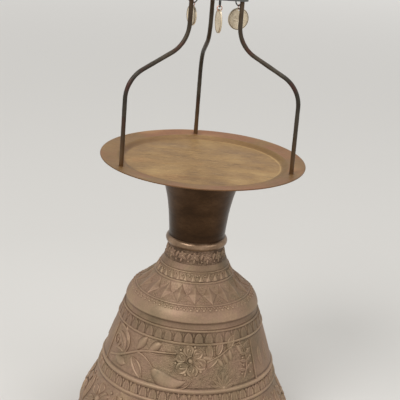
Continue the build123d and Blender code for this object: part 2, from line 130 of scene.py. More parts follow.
# Pan, in millimetres; its lip is given from the brim's edge, and its dents fade within the still radius
PAN_RADIUS = 110.0
PAN_FLOOR_RADIUS = 86.0
PAN_UNDERSIDE = 303.7
PAN_SHEET = 1.4
PAN_DEPTH = 4.9
PAN_LIP = [(-0.7, -1.45), (-0.2, -1.25), (0.0, -0.7), (-0.2, -0.15)]
BRIM_TOP = 310.0
WALL_FOOT_RADIUS = 83.0
WALL_TOP_RADIUS = 92.5
WALL_RISE = 3.3
STILL_RADIUS = 40.0

# Tones of the pan's wall and brim: the radius where each begins, and how far it takes to be full
WALL_TONE_FROM, WALL_TONE_BREADTH = WALL_FOOT_RADIUS + 0.8, 2.4
BRIM_TONE_FROM, BRIM_TONE_BREADTH = WALL_TOP_RADIUS - 1.0, 1.5

# Hammering and tarnish of the pan; the painted shade and the painted highlight on its wall: share, distance
# from the foot, breadth, and turn in radians
PAN_DENTS = [(0.30, 7), (0.16, 2.5)]
PAN_TARNISH, PAN_SPREAD, PAN_SPREAD_REACH = 0.05, 0.3, 6
HAMMER_WEAR = 0.5
# Darkness of the pan's underside and lip: tarnish, and along the lip's edge painted shade
UNDERSIDE_TARNISH_AND_SHADE = 0.55
PAINTED_WALL_SHADE, PAINTED_WALL_SHADE_AT, PAINTED_WALL_SHADE_BREADTH, PAINTED_WALL_SHADE_TURN = 0.26, 3.8, 3.4, 2.7
PAINTED_WALL_HIGHLIGHT, PAINTED_WALL_HIGHLIGHT_AT, PAINTED_WALL_HIGHLIGHT_BREADTH, PAINTED_WALL_HIGHLIGHT_TURN = 0.6, 0.6, 0.7, 0.7
ROD_FOOT_DIRT, ROD_FOOT_DIRT_REACH = 0.7, 3.8

# Rods and hook, in millimetres and degrees; the hook's taper in shares of its length and thickness
ROD_ANGLES = {"left": 212.0, "right": -18.5, "back": 96.3}
ROD_FOOT_RADIUS = 98.3
ROD_TOP_RADIUS = 28.8
WASHER_THICKNESS = 1.0
ROD_LOWER_CORNER_Z = 400.5
ROD_UPPER_CORNER_Z = 434.9
# Up to this height the rods' feet take the golden-brown tone: partly rust, partly a painted reflection of
# the pan
RUST_AND_REFLECTION_TOP_Z = 350.0
PLATE_TOP_Z = 483.9
ROD_RADIUS = 2.3
ROD_BEND = 33.0
HOOK_BACK_BEND = 6.0
HOOK_BOW = 11.0
HOOK_SWEEP = 255.0
HOOK_SHANK_FOOT_Z = 481.0
HOOK_SHANK_TOP_Z = 491.4
HOOK_RADIUS = 2.5
HOOK_TAPER_FROM = 0.72
HOOK_TAPER = 0.35
HOOK_SIDES = 40
HOOK_COLLAR = [
    (0.0, 484.2), (4.4, 484.2), (4.9, 484.6), (5.0, 485.8),
    (4.7, 486.9), (4.1, 487.5), (2.4, 487.7), (0.0, 487.7),
]
HOOK_HEAD = [
    (0.0, 478.7), (2.0, 478.8), (3.6, 479.4), (4.4, 480.4), (4.5, 481.0), (4.4, 481.1), (0.0, 481.1),
]

# Pendants: the two rods that the plate's edge runs between, the turn of the coin's flat, the coin's width
PENDANTS = {
    "right": (("right", "back"), 25.0, 23.0),
    "left": (("back", "left"), 117.0, 21.4),
    "front": (("left", "right"), -76.0, 24.6),
}
SPLIT_RING_RADIUS = 5.25
SPLIT_RING_WIRE = 0.65
JUMP_RING_RADIUS = 2.6
JUMP_RING_WIRE = 0.45
RING_GAP = 0.1
COIN_THICKNESS = 1.4
# How dark the coin's relief is drawn: grime in its hollows, and painted shade on its rim
COIN_GRIME_AND_SHADE = 1.7
PEARLS = 36
PEARL_CIRCLE = 0.84
PEARL_GAP = 0.3

# Camera, in metres and degrees, as fitted to the photograph
CAMERA_PLACE = (0.0, -1.23202, 0.67486)
CAMERA_TURN = (71.3995, -4.3554, 1.4465)
CAMERA_LENS = 108.0
CAMERA_SENSOR = 36.0


# Node trees

class NodeTree:
    """A node tree being built: each method adds a node, feeds its inputs and gives what comes out of it."""

    def __init__(self, tree):
        self.tree = tree

    def feed(self, sockets, values):
        """Links each output to its socket, or sets the socket to a plain value."""
        for socket, value in values.items():
            if isinstance(value, bpy.types.NodeSocket):
                self.tree.links.new(value, sockets[socket])
            else:
                sockets[socket].default_value = value

    def add(self, kind, values=None, **settings):
        node = self.tree.nodes.new(kind)
        for setting, value in settings.items():
            setattr(node, setting, value)
        self.feed(node.inputs, values or {})
        return node.outputs

    def maths(self, operation, *values):
        return self.add("ShaderNodeMath", dict(enumerate(values)), operation=operation)[0]

    def scaled(self, vector, by):
        return self.add("ShaderNodeVectorMath", {0: vector, "Scale": by}, operation="SCALE")["Vector"]

    def noise(self, vector, scale, detail, harshness=0.5):
        values = {"Vector": vector, "Scale": scale, "Detail": detail, "Roughness": harshness}
        return self.add("ShaderNodeTexNoise", values)["Fac"]

    def ranged(self, value, low, high, to_low=0.0, to_high=1.0):
        """The value carried from one range to another, and kept within it."""
        values = {"Value": value, "From Min": low, "From Max": high, "To Min": to_low, "To Max": to_high}
        return self.add("ShaderNodeMapRange", values)["Result"]

    def blended(self, share, first, second):
        """The first colour, with its share of the second."""
        values = {"Factor": share, "A": first, "B": second}
        return self.add("ShaderNodeMix", values, data_type="RGBA")["Result"]

    def attribute(self, name):
        return self.add("ShaderNodeAttribute", attribute_name=name)["Fac"]

    def bumped(self, height, strength, distance, normal=None):
        values = {"Strength": strength, "Distance": distance, "Height": height}
        if normal:
            values["Normal"] = normal
        return self.add("ShaderNodeBump", values)["Normal"]


def geometry_tree(name, result, **inputs):
    """A geometry tree with named inputs and one result, and what comes in."""
    tree = bpy.data.node_groups.new(name, "GeometryNodeTree")
    for label, kind in inputs.items():
        tree.interface.new_socket(label.replace("_", " "), in_out="INPUT", socket_type=f"NodeSocket{kind}")
    tree.interface.new_socket(result, in_out="OUTPUT", socket_type="NodeSocketGeometry")
    nodes = NodeTree(tree)
    return nodes, nodes.add("NodeGroupInput")


def finished_tree(nodes, geometry, finish, result):
    """Ends a geometry tree: real copies, coated with the finish."""
    real = nodes.add("GeometryNodeRealizeInstances", {"Geometry": geometry})[0]
    coated = nodes.add("GeometryNodeSetMaterial", {"Geometry": real, "Material": finish})[0]
    nodes.add("NodeGroupOutput", {result: coated})
    return nodes.tree


def new_finish(name):
    """A new material, its node tree and its shader's sockets."""
    material = bpy.data.materials.new(name)
    material.use_nodes = True
    return material, NodeTree(material.node_tree), material.node_tree.nodes["Principled BSDF"].inputs


# Finishes: noise is given by its detail and harshness, a range by its low and high end

BLOTCH_NOISE = (6.0, 0.62)
GRAIN_NOISE = (5.0, 0.7)
TONE_STOPS = (0.32, 0.68)
NOISE_RANGE = (0.30, 0.70)
GRAIN_SHADES = (0.80, 1.16)
GRAIN_DEPTH = 0.4 * MM
PIT_SCALE = 620.0
PIT_RANGE = (0.1, 0.6)
PIT_STRENGTH = 0.7
PIT_DEPTH = 1.1 * MM
MOST_TARNISH = 0.92
# The most brightening: wear, partly painted highlight
MOST_WEAR_AND_HIGHLIGHT = 0.9

# Scuffs, fine and broad: how they are drawn out, their noise, the range of it that shows, and their share
SCUFFS = [((110, 380, 1), (5.0, 0.8), (0.50, 0.72), 0.75), ((44, 170, 1), (6.0, 0.8), (0.52, 0.70), 0.8)]

# Reddening of a brim: the noise's scale and detail, and the range of it that shows
REDDENING_NOISE = (16.0, 3.0)
REDDENING_RANGE = (0.44, 0.60)


def tone(red, green, blue):
    """A colour given as it looks on a screen, turned into the linear values that the shader takes."""
    shares = np.array([red, green, blue]) / 255
    linear = np.where(shares <= 0.04045, shares / 12.92, ((shares + 0.055) / 1.055) ** 2.4)
    return (*linear.tolist(), 1.0)


def metal_finish(
    name, tones, crevice, worn_and_highlight, metallic, roughness, blotch, grain,
    stretch=(1, 1, 1), bump=0.25, punched=False, scuffs=(), brim=None,
):
    """An old metal surface with blotches of several tones and fine grain. The tarnish attribute darkens what
    lies deep and brightens what wear has polished; in places its darkening is painted shade, and its
    brightening of crests is partly a painted highlight. Punched roughens a ground, and brim marks a pan's
    wall and brim."""
    material, nodes, shader = new_finish(name)
    place = nodes.add("ShaderNodeTexCoord")["Object"]

    def stretched(by):
        return nodes.add("ShaderNodeMapping", {"Vector": place, "Scale": by})["Vector"]

    drawn_out = stretched(stretch)
    blotches = nodes.noise(drawn_out, blotch, *BLOTCH_NOISE)
    grains = nodes.noise(drawn_out, grain, *GRAIN_NOISE)
    colour = nodes.add("ShaderNodeValToRGB", {"Fac": blotches})["Color"]
    stops = colour.node.color_ramp.elements
    places = np.linspace(*TONE_STOPS, len(tones))
    stops[0].position = places[0]
    stops[1].position = places[-1]
    for at in places[1:-1]:
        stops.new(at)
    for stop, its_tone in zip(stops, tones):
        stop.color = tone(*its_tone)
    for its_tone, (drawn, character, shown, share) in zip(scuffs, SCUFFS):
        marks = nodes.noise(stretched(drawn), 1.0, *character)
        colour = nodes.blended(nodes.ranged(marks, *shown, 0.0, share), colour, tone(*its_tone))
    if brim:
        olive, brown, reddish = brim
        outward = nodes.attribute("brim")
        on_brim = nodes.ranged(outward, 0.5, 1.0)
        reddened = nodes.ranged(nodes.noise(place, *REDDENING_NOISE), *REDDENING_RANGE)
        colour = nodes.blended(nodes.ranged(outward, 0.0, 0.5), colour, tone(*olive))
        colour = nodes.blended(on_brim, colour, tone(*brown))
        colour = nodes.blended(nodes.maths("MULTIPLY", on_brim, reddened), colour, tone(*reddish))

    colour = nodes.scaled(colour, nodes.ranged(grains, *NOISE_RANGE, *GRAIN_SHADES))
    tarnish = nodes.attribute("tarnish")
    # Darkening toward the crevice tone: tarnish, and in places painted shade; brightening below 0: wear,
    # partly painted highlight
    colour = nodes.blended(nodes.ranged(tarnish, 0.0, 1.0, 0.0, MOST_TARNISH), colour, tone(*crevice))
    colour = nodes.blended(nodes.ranged(tarnish, 0.0, -1.0, 0.0, MOST_WEAR_AND_HIGHLIGHT), colour, tone(*worn_and_highlight))
    normal = nodes.bumped(grains, bump, GRAIN_DEPTH)
    if punched:
        pits = nodes.add("ShaderNodeTexVoronoi", {"Vector": place, "Scale": PIT_SCALE})["Distance"]
        depth = nodes.maths("MULTIPLY", nodes.ranged(pits, *PIT_RANGE), nodes.attribute("punched"))
        normal = nodes.bumped(depth, PIT_STRENGTH, PIT_DEPTH, normal)
    rough = nodes.ranged(blotches, *NOISE_RANGE, *roughness)
    nodes.feed(shader, {"Metallic": metallic, "Base Color": colour, "Roughness": rough, "Normal": normal})
    return material


stand_patina = metal_finish(
    "stand_patina", [(120, 103, 78), (143, 119, 93), (152, 123, 101), (163, 136, 107)],
    crevice=(82, 61, 43), worn_and_highlight=(194, 167, 137), metallic=0.45, roughness=(0.46, 0.62),
    blotch=22.0, grain=520.0, punched=True,
)
# The neck's dark tones are partly its own patina and partly painted shade of the pan above it
neck_patina = metal_finish(
    "neck_patina", [(52, 35, 19), (68, 47, 28), (88, 64, 43)],
    crevice=(42, 27, 15), worn_and_highlight=(124, 96, 72), metallic=0.85, roughness=(0.28, 0.40),
    blotch=26.0, grain=300.0, stretch=(1, 1, 2.2), bump=0.12,
)
bead_patina = metal_finish(
    "bead_patina", [(124, 98, 76), (152, 124, 98), (176, 146, 120)],
    crevice=(52, 37, 25), worn_and_highlight=(200, 172, 144), metallic=0.6, roughness=(0.26, 0.36),
    blotch=60.0, grain=400.0, bump=0.15,
)
pan_patina = metal_finish(
    "pan_patina", [(134, 102, 62), (146, 113, 68), (153, 120, 74), (154, 112, 72)],
    crevice=(92, 62, 36), worn_and_highlight=(204, 172, 116), metallic=0.45, roughness=(0.44, 0.58),
    blotch=20.0, grain=380.0, stretch=(0.55, 1.5, 1), bump=0.35,
    scuffs=[(182, 149, 98), (102, 76, 43)], brim=[(122, 92, 49), (128, 97, 58), (136, 93, 61)],
)
# Its golden-brown crevice tone goes mostly on the rods' feet: partly rust, partly a painted reflection of
# the pan
rod_iron = metal_finish(
    "rod_iron", [(70, 41, 34), (51, 46, 38), (69, 64, 55), (54, 43, 34)],
    crevice=(112, 76, 34), worn_and_highlight=(122, 116, 104), metallic=0.6, roughness=(0.42, 0.60),
    blotch=26.0, grain=700.0, bump=0.3,
)
plate_steel = metal_finish(
    "plate_steel", [(82, 84, 82), (104, 107, 105), (126, 128, 124)],
    crevice=(60, 52, 44), worn_and_highlight=(160, 162, 158), metallic=0.7, roughness=(0.40, 0.55),
    blotch=60.0, grain=800.0, stretch=(1, 4, 1), bump=0.2,
)
ring_wire = metal_finish(
    "ring_wire", [(48, 47, 46), (72, 71, 70), (96, 95, 92)],
    crevice=(36, 30, 26), worn_and_highlight=(130, 128, 124), metallic=0.8, roughness=(0.32, 0.45),
    blotch=180.0, grain=1500.0, bump=0.1,
)
copper_wire = metal_finish(
    "copper_wire", [(196, 132, 104), (214, 156, 130), (226, 178, 152)],
    crevice=(120, 72, 50), worn_and_highlight=(240, 206, 186), metallic=0.8, roughness=(0.26, 0.38),
    blotch=180.0, grain=1500.0, bump=0.1,
)
coin_gilt = metal_finish(
    "coin_gilt", [(204, 187, 158), (219, 203, 176), (231, 217, 192)],
    crevice=(92, 74, 54), worn_and_highlight=(246, 234, 212), metallic=0.4, roughness=(0.36, 0.50),
    blotch=90.0, grain=900.0, bump=0.15,
)


# Lines and surfaces

def bell(distance, width, power=2):
    """1 at no distance, falling off smoothly over a width."""
    return np.exp(-((distance / width) ** power))


def share_of(value, whole):
    """What share of the whole a value comes to, kept from 0 to 1."""
    return np.clip(value / whole, 0, 1)


def run_along(line):
    """The distance along a line at each of its points."""
    return np.concatenate([[0.0], np.cumsum(np.hypot(*np.diff(line, axis=0).T))])


def smooth_line(stations, steps):
    """Points evenly spread along the smooth line through the stations."""
    knots = np.array(stations, float)
    at = run_along(knots)
    gap = np.diff(at)
    count = len(at)
    system = np.eye(count)
    curving = np.zeros((count, 2))
    for i in range(1, count - 1):
        system[i, i - 1:i + 2] = gap[i - 1], 2 * (gap[i - 1] + gap[i]), gap[i]
        curving[i] = 6 * ((knots[i + 1] - knots[i]) / gap[i] - (knots[i] - knots[i - 1]) / gap[i - 1])
    curving = np.linalg.solve(system, curving)
    fine = np.linspace(0, at[-1], SPLINE_STEPS)
    k = np.clip(np.searchsorted(at, fine, "right") - 1, 0, count - 2)
    a = ((at[k + 1] - fine) / gap[k])[:, None]
    b = 1 - a
    bow = ((a**3 - a) * curving[k] + (b**3 - b) * curving[k + 1]) * (gap[k] ** 2)[:, None] / 6
    line = a * knots[k] + b * knots[k + 1] + bow
    run = run_along(line)
    even = np.linspace(0, run[-1], steps + 1)
    return np.column_stack([np.interp(even, run, line[:, 0]), np.interp(even, run, line[:, 1])])


def line_normals(line):
    """Unit normals of a line of (radius, height), to the right of the way it runs."""
    run = np.gradient(line, axis=0)
    run /= np.linalg.norm(run, axis=1)[:, None]
    return np.column_stack([run[:, 1], -run[:, 0]])


def radial_point(radius, angle, height):
    """A point by its distance from the Z axis, its turn in degrees and its height."""
    return (radius * cos(radians(angle)), radius * sin(radians(angle)), height)


def dents(grid, seed, reach):
    """Gentle unevenness from -1 to 1 on a grid, joined up round the turn."""
    rough = np.random.default_rng(seed).normal(size=grid)
    up = np.fft.fftfreq(grid[0])[:, None]
    across = np.fft.rfftfreq(grid[1])[None, :]
    keep = np.exp(-2 * (pi * reach) ** 2 * (up**2 + across**2))
    soft = np.fft.irfft2(np.fft.rfft2(rough) * keep, s=grid)
    return soft / np.abs(soft).max()


def dented(grid, seed, layers):
    """Dents of each depth and reach, one over another."""
    return sum(depth * dents(grid, seed + k, reach) for k, (depth, reach) in enumerate(layers, 1))


def varied(grid, seed, level, spread, reach):
    """A level on a grid, with a gentle spread about it."""
    return level + spread * dents(grid, seed, reach)


def grid_faces(rows, columns, joined=False):
    """Faces between the neighbouring points of a grid; joined closes each row into a ring."""
    faces = []
    for i in range(rows - 1):
        low, high = i * columns, (i + 1) * columns
        for j in range(columns if joined else columns - 1):
            beside = (j + 1) % columns
            faces.append((low + j, low + beside, high + beside, high + j))
    return faces


def put_in_scene(name, data):
    made = bpy.data.objects.new(name, data)
    scene.collection.objects.link(made)
    return made


def weld(mesh, distance, face_outward=False):
    """Joins points that lie together, and may turn all faces to the outside."""
    work = bmesh.new()
    work.from_mesh(mesh)
    bmesh.ops.remove_doubles(work, verts=work.verts, dist=distance)
    if face_outward:
        bmesh.ops.recalc_face_normals(work, faces=work.faces)
    work.to_mesh(mesh)
    work.free()


def new_mesh(name, points, edges, faces, **layers):
    """A mesh from points in millimetres, with a number from -1 to 1 at each point for each layer."""
    mesh = bpy.data.meshes.new(name)
    mesh.from_pydata((np.asarray(points, float) * MM).tolist(), edges, faces)
    for label, values in layers.items():
        layer = mesh.attributes.new(label, "FLOAT", "POINT")
        layer.data.foreach_set("value", np.clip(np.asarray(values, np.float32), -1, 1).ravel())
    return mesh


def make_piece(name, points, faces, tarnish, finish, **more):
    """A mesh object at the origin, with its tarnish and its finish."""
    mesh = new_mesh(name, points, [], faces, tarnish=tarnish, **more)
    weld(mesh, SHEET_WELD)
    mesh.polygons.foreach_set("use_smooth", np.ones(len(mesh.polygons), bool))
    mesh.set_sharp_from_angle(angle=radians(SHEET_SHARP))
    mesh.materials.append(finish)
    return put_in_scene(name, mesh)


def turned(name, outline, sides, finish, out=0.0, tarnish=0.0, **more):
    """A piece turned round the Z axis from a closed outline that goes up outside and down inside."""
    outline = np.asarray(outline, float)
    rows = len(outline)
    level = np.zeros((rows, sides))
    run = np.roll(outline, -1, 0) - np.roll(outline, 1, 0)
    run /= np.linalg.norm(run, axis=1)[:, None]
    radius = outline[:, :1] + run[:, 1:] * (level + out)
    height = outline[:, 1:] - run[:, :1] * (level + out)
    angle = np.arange(sides) * tau / sides
    points = np.stack([radius * np.cos(angle), radius * np.sin(angle), height], axis=-1).reshape(-1, 3)
    faces = [tuple(i % len(points) for i in face) for face in grid_faces(rows + 1, sides, True)]
    layers = {label: level + values for label, values in more.items()}
    return make_piece(name, points, faces, level + tarnish, finish, **layers)


# The stand's two sheets

def moulding(height, at, width, stand_out):
    """Lift and dirt of a raised round line with a groove on each side, by height on the sheet; the
    brightening of its crest is partly wear, partly painted highlight.
    """
    away = np.abs(height - at) / (width / 2)
    crown = np.clip(1 - away**2, 0, None)
    groove = np.where(away > 1, GROOVE_DEPTH * bell(away - GROOVE_AT, GROOVE_BREADTH), 0)
    dirt = GROOVE_DIRT * bell(away - GROOVE_DIRT_AT, GROOVE_DIRT_BREADTH) - CREST_WEAR_AND_HIGHLIGHT * crown
    return stand_out * crown - groove, dirt


def sheet_of_stand(name, stations, grid, seed, lines, grounds, top=None, lip=None):
    """A stand sheet with its raised lines, its punched grounds and the unevenness of hand work."""
    steps, sides = grid
    outside = smooth_line(stations, steps)
    if top:
        outside = np.vstack([outside, [(stations[-1][0], top)]])
    inside = (outside - line_normals(outside) * STAND_SHEET)[::INSIDE_STRIDE]
    inside = np.vstack([inside, outside[-1:] - (STAND_SHEET, 0)])
    inside[0] = outside[0] - (STAND_SHEET, 0)
    level = np.zeros((len(outside), sides))
    height = outside[:, 1:] + level
    lift, dirt, punching = level.copy(), level.copy(), level.copy()
    for line in lines:
        its_lift, its_dirt = moulding(height, *line)
        lift += its_lift
        dirt += its_dirt
    stipple = dents(level.shape, seed + 1, STIPPLE_REACH)
    patches = varied(level.shape, seed + 5, 1, PATCHINESS, PATCH_REACH)
    half_turn = np.degrees(np.arange(sides) * tau / sides) % 180 - 90
    for low, high, turn_low, turn_high, depth, darkness in grounds:
        within = (height > low) & (height < high) & (half_turn > turn_low) & (half_turn < turn_high)
        punching = np.maximum(punching, depth * within)
        dirt += darkness * patches * within
    # The lip's darkness: painted shadow in the cove under it, and on its crest wear and painted highlight
    if lip:
        at, stand_out, darkness = np.array(lip).T
        lift += np.interp(height, at, stand_out)
        dirt += np.interp(height, at, darkness)
    lift += dented(level.shape, seed + 1, SHEET_DENTS) + PUNCH_DEPTH * punching * (stipple - 0.5)
    dirt += SHEET_SPREAD * dents(level.shape, seed + 4, SHEET_SPREAD_REACH) - PUNCH_WEAR * punching * stipple
    lift[0] = lift[-1] = 0
    plain = np.zeros((len(inside), sides))
    piece = turned(
        name, np.vstack([outside, inside[::-1]]), sides, stand_patina, np.vstack([lift, plain]),
        np.vstack([dirt, plain + INSIDE_TARNISH]), punched=np.vstack([punching, plain]),
    )
    return piece, outside


skirt_sheet, skirt_line = sheet_of_stand(
    "skirt_sheet", SKIRT, SKIRT_GRID, SKIRT_SEED, SKIRT_LINES, SKIRT_GROUNDS,
)
shoulder_sheet, shoulder_line = sheet_of_stand(
    "shoulder_sheet", SHOULDER, SHOULDER_GRID, SHOULDER_SEED, SHOULDER_LINES, SHOULDER_GROUNDS,
    top=JOINT_Z, lip=SHOULDER_LIP,
)


# Raised ornament: forms drawn flat in millimetres, x along a row, y up the sheet and z out of it

SUNK = -0.45
THINNEST = 0.04
LEAF_STEPS = 12
LEAF_STRIDE = 1.6
OUTLINED_STEPS = 14
OUTLINED_ACROSS = 18
STEM_STEPS = 6
STEM_TAPER = 0.45
SCROLL_POINTS = 9
SCROLL_CLOSING = 0.82

# A stalk's section from side to side: place across, height and dirt
STEM_SECTION = [(-1.0, 0.0, 1.0), (-0.65, 0.8, 0.1), (0.0, 1.0, -0.32), (0.65, 0.8, 0.1), (1.0, 0.0, 1.0)]


def raised_form(length, half_width, section, bend=0.0, steps=LEAF_STEPS, across=8):
    """A form that grows along y: half_width(t) gives its outline, section(t, v) its height and dirt."""
    t = np.linspace(0, 1, steps + 1)[:, None]
    v = np.linspace(-1, 1, across + 1)[None, :]
    heading = bend * t
    stride = length / steps
    spine_x = np.concatenate([[[0.0]], np.cumsum(np.sin(heading[:-1]) * stride, axis=0)])
    spine_y = np.concatenate([[[0.0]], np.cumsum(np.cos(heading[:-1]) * stride, axis=0)])
    half = np.maximum(half_width(t), THINNEST)
    height, dirt = section(t, v)
    ones = np.ones((steps + 1, across + 1))
    x = spine_x + np.cos(heading) * half * v
    y = spine_y - np.sin(heading) * half * v
    points = np.stack([x, y, height * ones], axis=-1).reshape(-1, 3)
    return points, grid_faces(steps + 1, across + 1), (dirt * ones).ravel()


def almond(width, blunt):
    """The half width of a leaf along its length."""
    return lambda t: width / 2 * np.sin(pi * t**blunt) ** 0.8


def round_ends(t, foot, tip):
    """A rise from 0 at the foot and back to 0 at the tip, each over its share of the length."""
    return share_of(t, foot) ** 0.5 * share_of(1 - t, tip) ** 0.5


def leaf(length, width, height, bend=0.0, rib=0.0, blunt=1.0, ridge=0.0):
    """An almond leaf with sunk edges; rib chases a line down its middle, ridge folds it to a crest."""
    def section(t, v):
        fold = (1 - ridge) * np.sqrt(1 - v**2) + ridge * (1 - np.abs(v))
        crown = fold * np.sin(pi * t**blunt) ** 0.25
        groove = bell(v, 0.16) * np.sin(pi * t)
        dirt = 1.1 * np.abs(v) ** 4 - 0.24 * (1 - v**2) ** 2 + 0.9 * (rib > 0) * groove
        return SUNK + (height - SUNK) * crown - rib * groove, dirt

    steps = max(LEAF_STEPS, round(length / LEAF_STRIDE))
    return raised_form(length, almond(width, blunt), section, bend, steps)


def outlined(length, half_width, height, field, bend=0.0):
    """A form with a raised edge round a lower, slightly swelling field."""
    def section(t, v):
        edge = bell(np.abs(v) - 0.74, 0.2)
        inner = field * (1 - 0.6 * v**2)
        crown = np.maximum(inner, height * edge) * np.sqrt(1 - np.abs(v) ** 10)
        dirt = np.abs(v) ** 12 - 0.36 * edge + 0.34 * bell(np.abs(v) - 0.42, 0.12)
        return SUNK + (crown - SUNK) * round_ends(t, 0.08, 0.06), dirt

    return raised_form(length, half_width, section, bend, OUTLINED_STEPS, OUTLINED_ACROSS)


def outlined_leaf(length, width, height, bend=0.0, blunt=1.0, field=0.35):
    """A leaf shown by its raised edge."""
    return outlined(length, almond(width, blunt), height, field, bend)


def stem(points, width, height):
    """A raised stalk along a smooth line, thinner at its far end."""
    line = smooth_line(points, STEM_STEPS * len(points))
    side = line_normals(line)
    t = np.linspace(0, 1, len(line))[:, None]
    across, crown, dirt = np.array(STEM_SECTION).T
    reach = width / 2 * (1 - STEM_TAPER * t) * across
    level = np.zeros_like(reach)
    x = line[:, :1] + side[:, :1] * reach
    y = line[:, 1:] + side[:, 1:] * reach
    z = SUNK + (height - SUNK) * crown + level
    return np.stack([x, y, z], axis=-1).reshape(-1, 3), grid_faces(*reach.shape), (dirt + level).ravel()


def round_form(rings, sides, capped=True):
    """A round form from rings of (radius, height, dirt), from its edge inward."""
    angle = np.arange(sides) * tau / sides
    points = [(radius * cos(a), radius * sin(a), z) for radius, z, _ in rings for a in angle]
    faces = grid_faces(len(rings), sides, True)
    if capped:
        faces.append(tuple(range((len(rings) - 1) * sides, len(rings) * sides)))
    return np.array(points), faces, np.repeat([dirt for _, _, dirt in rings], sides)


def boss(radius, height, sides=12):
    """A round bead with sunk edge."""
    rings = [(1.0, SUNK, 1.0), (0.92, 0.45 * height, 0.45), (0.66, 0.85 * height, -0.1), (0.3, height, -0.5)]
    return round_form([(radius * share, *rest) for share, *rest in rings], sides)


def hoop(radius, width, height, sides=56):
    """A raised ring, dark all over: painted shade on a coin's rim."""
    rings = [(1.0, SUNK, 1.0), (0.4, height, 0.7), (-0.4, height, 0.7), (-1.0, SUNK, 1.0)]
    return round_form([(radius + width / 2 * share, *rest) for share, *rest in rings], sides, capped=False)


def scroll(radius, turns, width, height):
    """A stalk that curls in on itself."""
    steps = np.linspace(0, 1, SCROLL_POINTS)
    reach = radius * (1 - SCROLL_CLOSING * steps)
    points = np.column_stack([reach * np.cos(tau * turns * steps), reach * np.sin(tau * turns * steps)])
    return stem(points, width, height)


def set_down(form, x, y, turn=0.0, size=1.0):
    """A form moved to a place, turned anticlockwise by degrees."""
    points, faces, dirt = form
    c, s = cos(radians(turn)), sin(radians(turn))
    moved = points.copy()
    moved[:, 0] = x + size * (points[:, 0] * c - points[:, 1] * s)
    moved[:, 1] = y + size * (points[:, 0] * s + points[:, 1] * c)
    return moved, faces, dirt


def gathered(forms):
    """Several forms as one."""
    faces, start = [], 0
    for points, its_faces, _ in forms:
        faces += [tuple(i + start for i in face) for face in its_faces]
        start += len(points)
    return np.vstack([f[0] for f in forms]), faces, np.concatenate([f[2] for f in forms])


def arranged(placings):
    """Forms as one, each given with its place and, if need be, its turn and size."""
    return gathered([set_down(*placing) for placing in placings])


def round_about(x, y, across, up, turn):
    """A place on a ring round a middle."""
    return x - across * sin(radians(turn)), y + up * cos(radians(turn))


# A row of a form, repeated round the stand and laid on a sheet's outline

# Rubbing: the noise's scale and detail, and the range of it that shows
RUBBING_NOISE = (26.0, 2.0)
RUBBING_RANGE = (0.44, 0.64)


def row_tree():
    nodes, given = geometry_tree(
        "row_round_the_stand", "Row", Form="Geometry", Sheet_line="Object", Copies="Int",
        Row_radius="Float", Start="Float", Turn="Float", Wear="Float", Finish="Material",
    )
    pitch = nodes.maths("DIVIDE", nodes.maths("MULTIPLY", given["Row radius"], tau), given["Copies"])
    stride = nodes.add("ShaderNodeCombineXYZ", {"X": pitch})[0]
    spacing = {"Count": given["Copies"], "Offset": stride}
    places = nodes.add("GeometryNodeMeshLine", spacing, mode="OFFSET")[0]
    copies = nodes.add("GeometryNodeInstanceOnPoints", {"Points": places, "Instance": given["Form"]})[0]
    flat_row = nodes.add("GeometryNodeRealizeInstances", {"Geometry": copies})[0]

    where = nodes.add("GeometryNodeInputPosition")[0]
    flat = nodes.add("ShaderNodeSeparateXYZ", {0: where})
    angle = nodes.maths("ADD", nodes.maths("DIVIDE", flat["X"], given["Row radius"]), given["Turn"])
    up = nodes.maths("ADD", flat["Y"], given["Start"])
    line = nodes.add("GeometryNodeObjectInfo", {"Object": given["Sheet line"]}, transform_space="ORIGINAL")
    sampled = {"Curves": line["Geometry"], "Length": up}
    on_line = nodes.add("GeometryNodeSampleCurve", sampled, mode="LENGTH", use_all_curves=True)
    way = nodes.add("ShaderNodeSeparateXYZ", {0: on_line["Tangent"]})
    back = nodes.maths("MULTIPLY", way["X"], -1.0)
    outward = nodes.add("ShaderNodeCombineXYZ", {"X": way["Z"], "Z": back})[0]
    rubbed = nodes.ranged(nodes.noise(where, *RUBBING_NOISE), *RUBBING_RANGE, 0.0, given["Wear"])
    proud = nodes.scaled(outward, nodes.maths("SUBTRACT", flat["Z"], rubbed))
    raised = nodes.add("ShaderNodeVectorMath", {0: on_line["Position"], 1: proud}, operation="ADD")[0]
    spin = {"Vector": raised, "Angle": angle}
    spun = nodes.add("ShaderNodeVectorRotate", spin, rotation_type="Z_AXIS")[0]
    laid = nodes.add("GeometryNodeSetPosition", {"Geometry": flat_row, "Position": spun})[0]
    soft = nodes.add("GeometryNodeSetShadeSmooth", {"Geometry": laid})[0]
    return finished_tree(nodes, soft, given["Finish"], "Row")


def made_by_nodes(start, tree, **inputs):
    """A start mesh run through a node tree, with its inputs set by name, as a plain mesh object."""
    modifier = start.modifiers.new("nodes", "NODES")
    modifier.node_group = tree
    sockets = [item for item in tree.interface.items_tree if item.item_type == "SOCKET"]
    ids = {socket.name: socket.identifier for socket in sockets if socket.in_out == "INPUT"}
    for label, value in inputs.items():
        modifier[ids[label.replace("_", " ")]] = value
    bpy.context.view_layer.update()
    evaluated = start.evaluated_get(bpy.context.evaluated_depsgraph_get())
    mesh = bpy.data.meshes.new_from_object(evaluated)
    old = start.data
    start.modifiers.remove(modifier)
    start.data = mesh
    mesh.name = start.name
    bpy.data.meshes.remove(old)
    return start


def line_object(name, line):
    """A sheet's outline as a curve in the XZ plane, for the rows to follow."""
    curve = bpy.data.curves.new(name, "CURVE")
    curve.dimensions = "3D"
    spline = curve.splines.new("POLY")
    spline.points.add(len(line) - 1)
    for point, (radius, height) in zip(spline.points, line):
        point.co = (radius * MM, 0, height * MM, 1)
    return put_in_scene(name, curve)


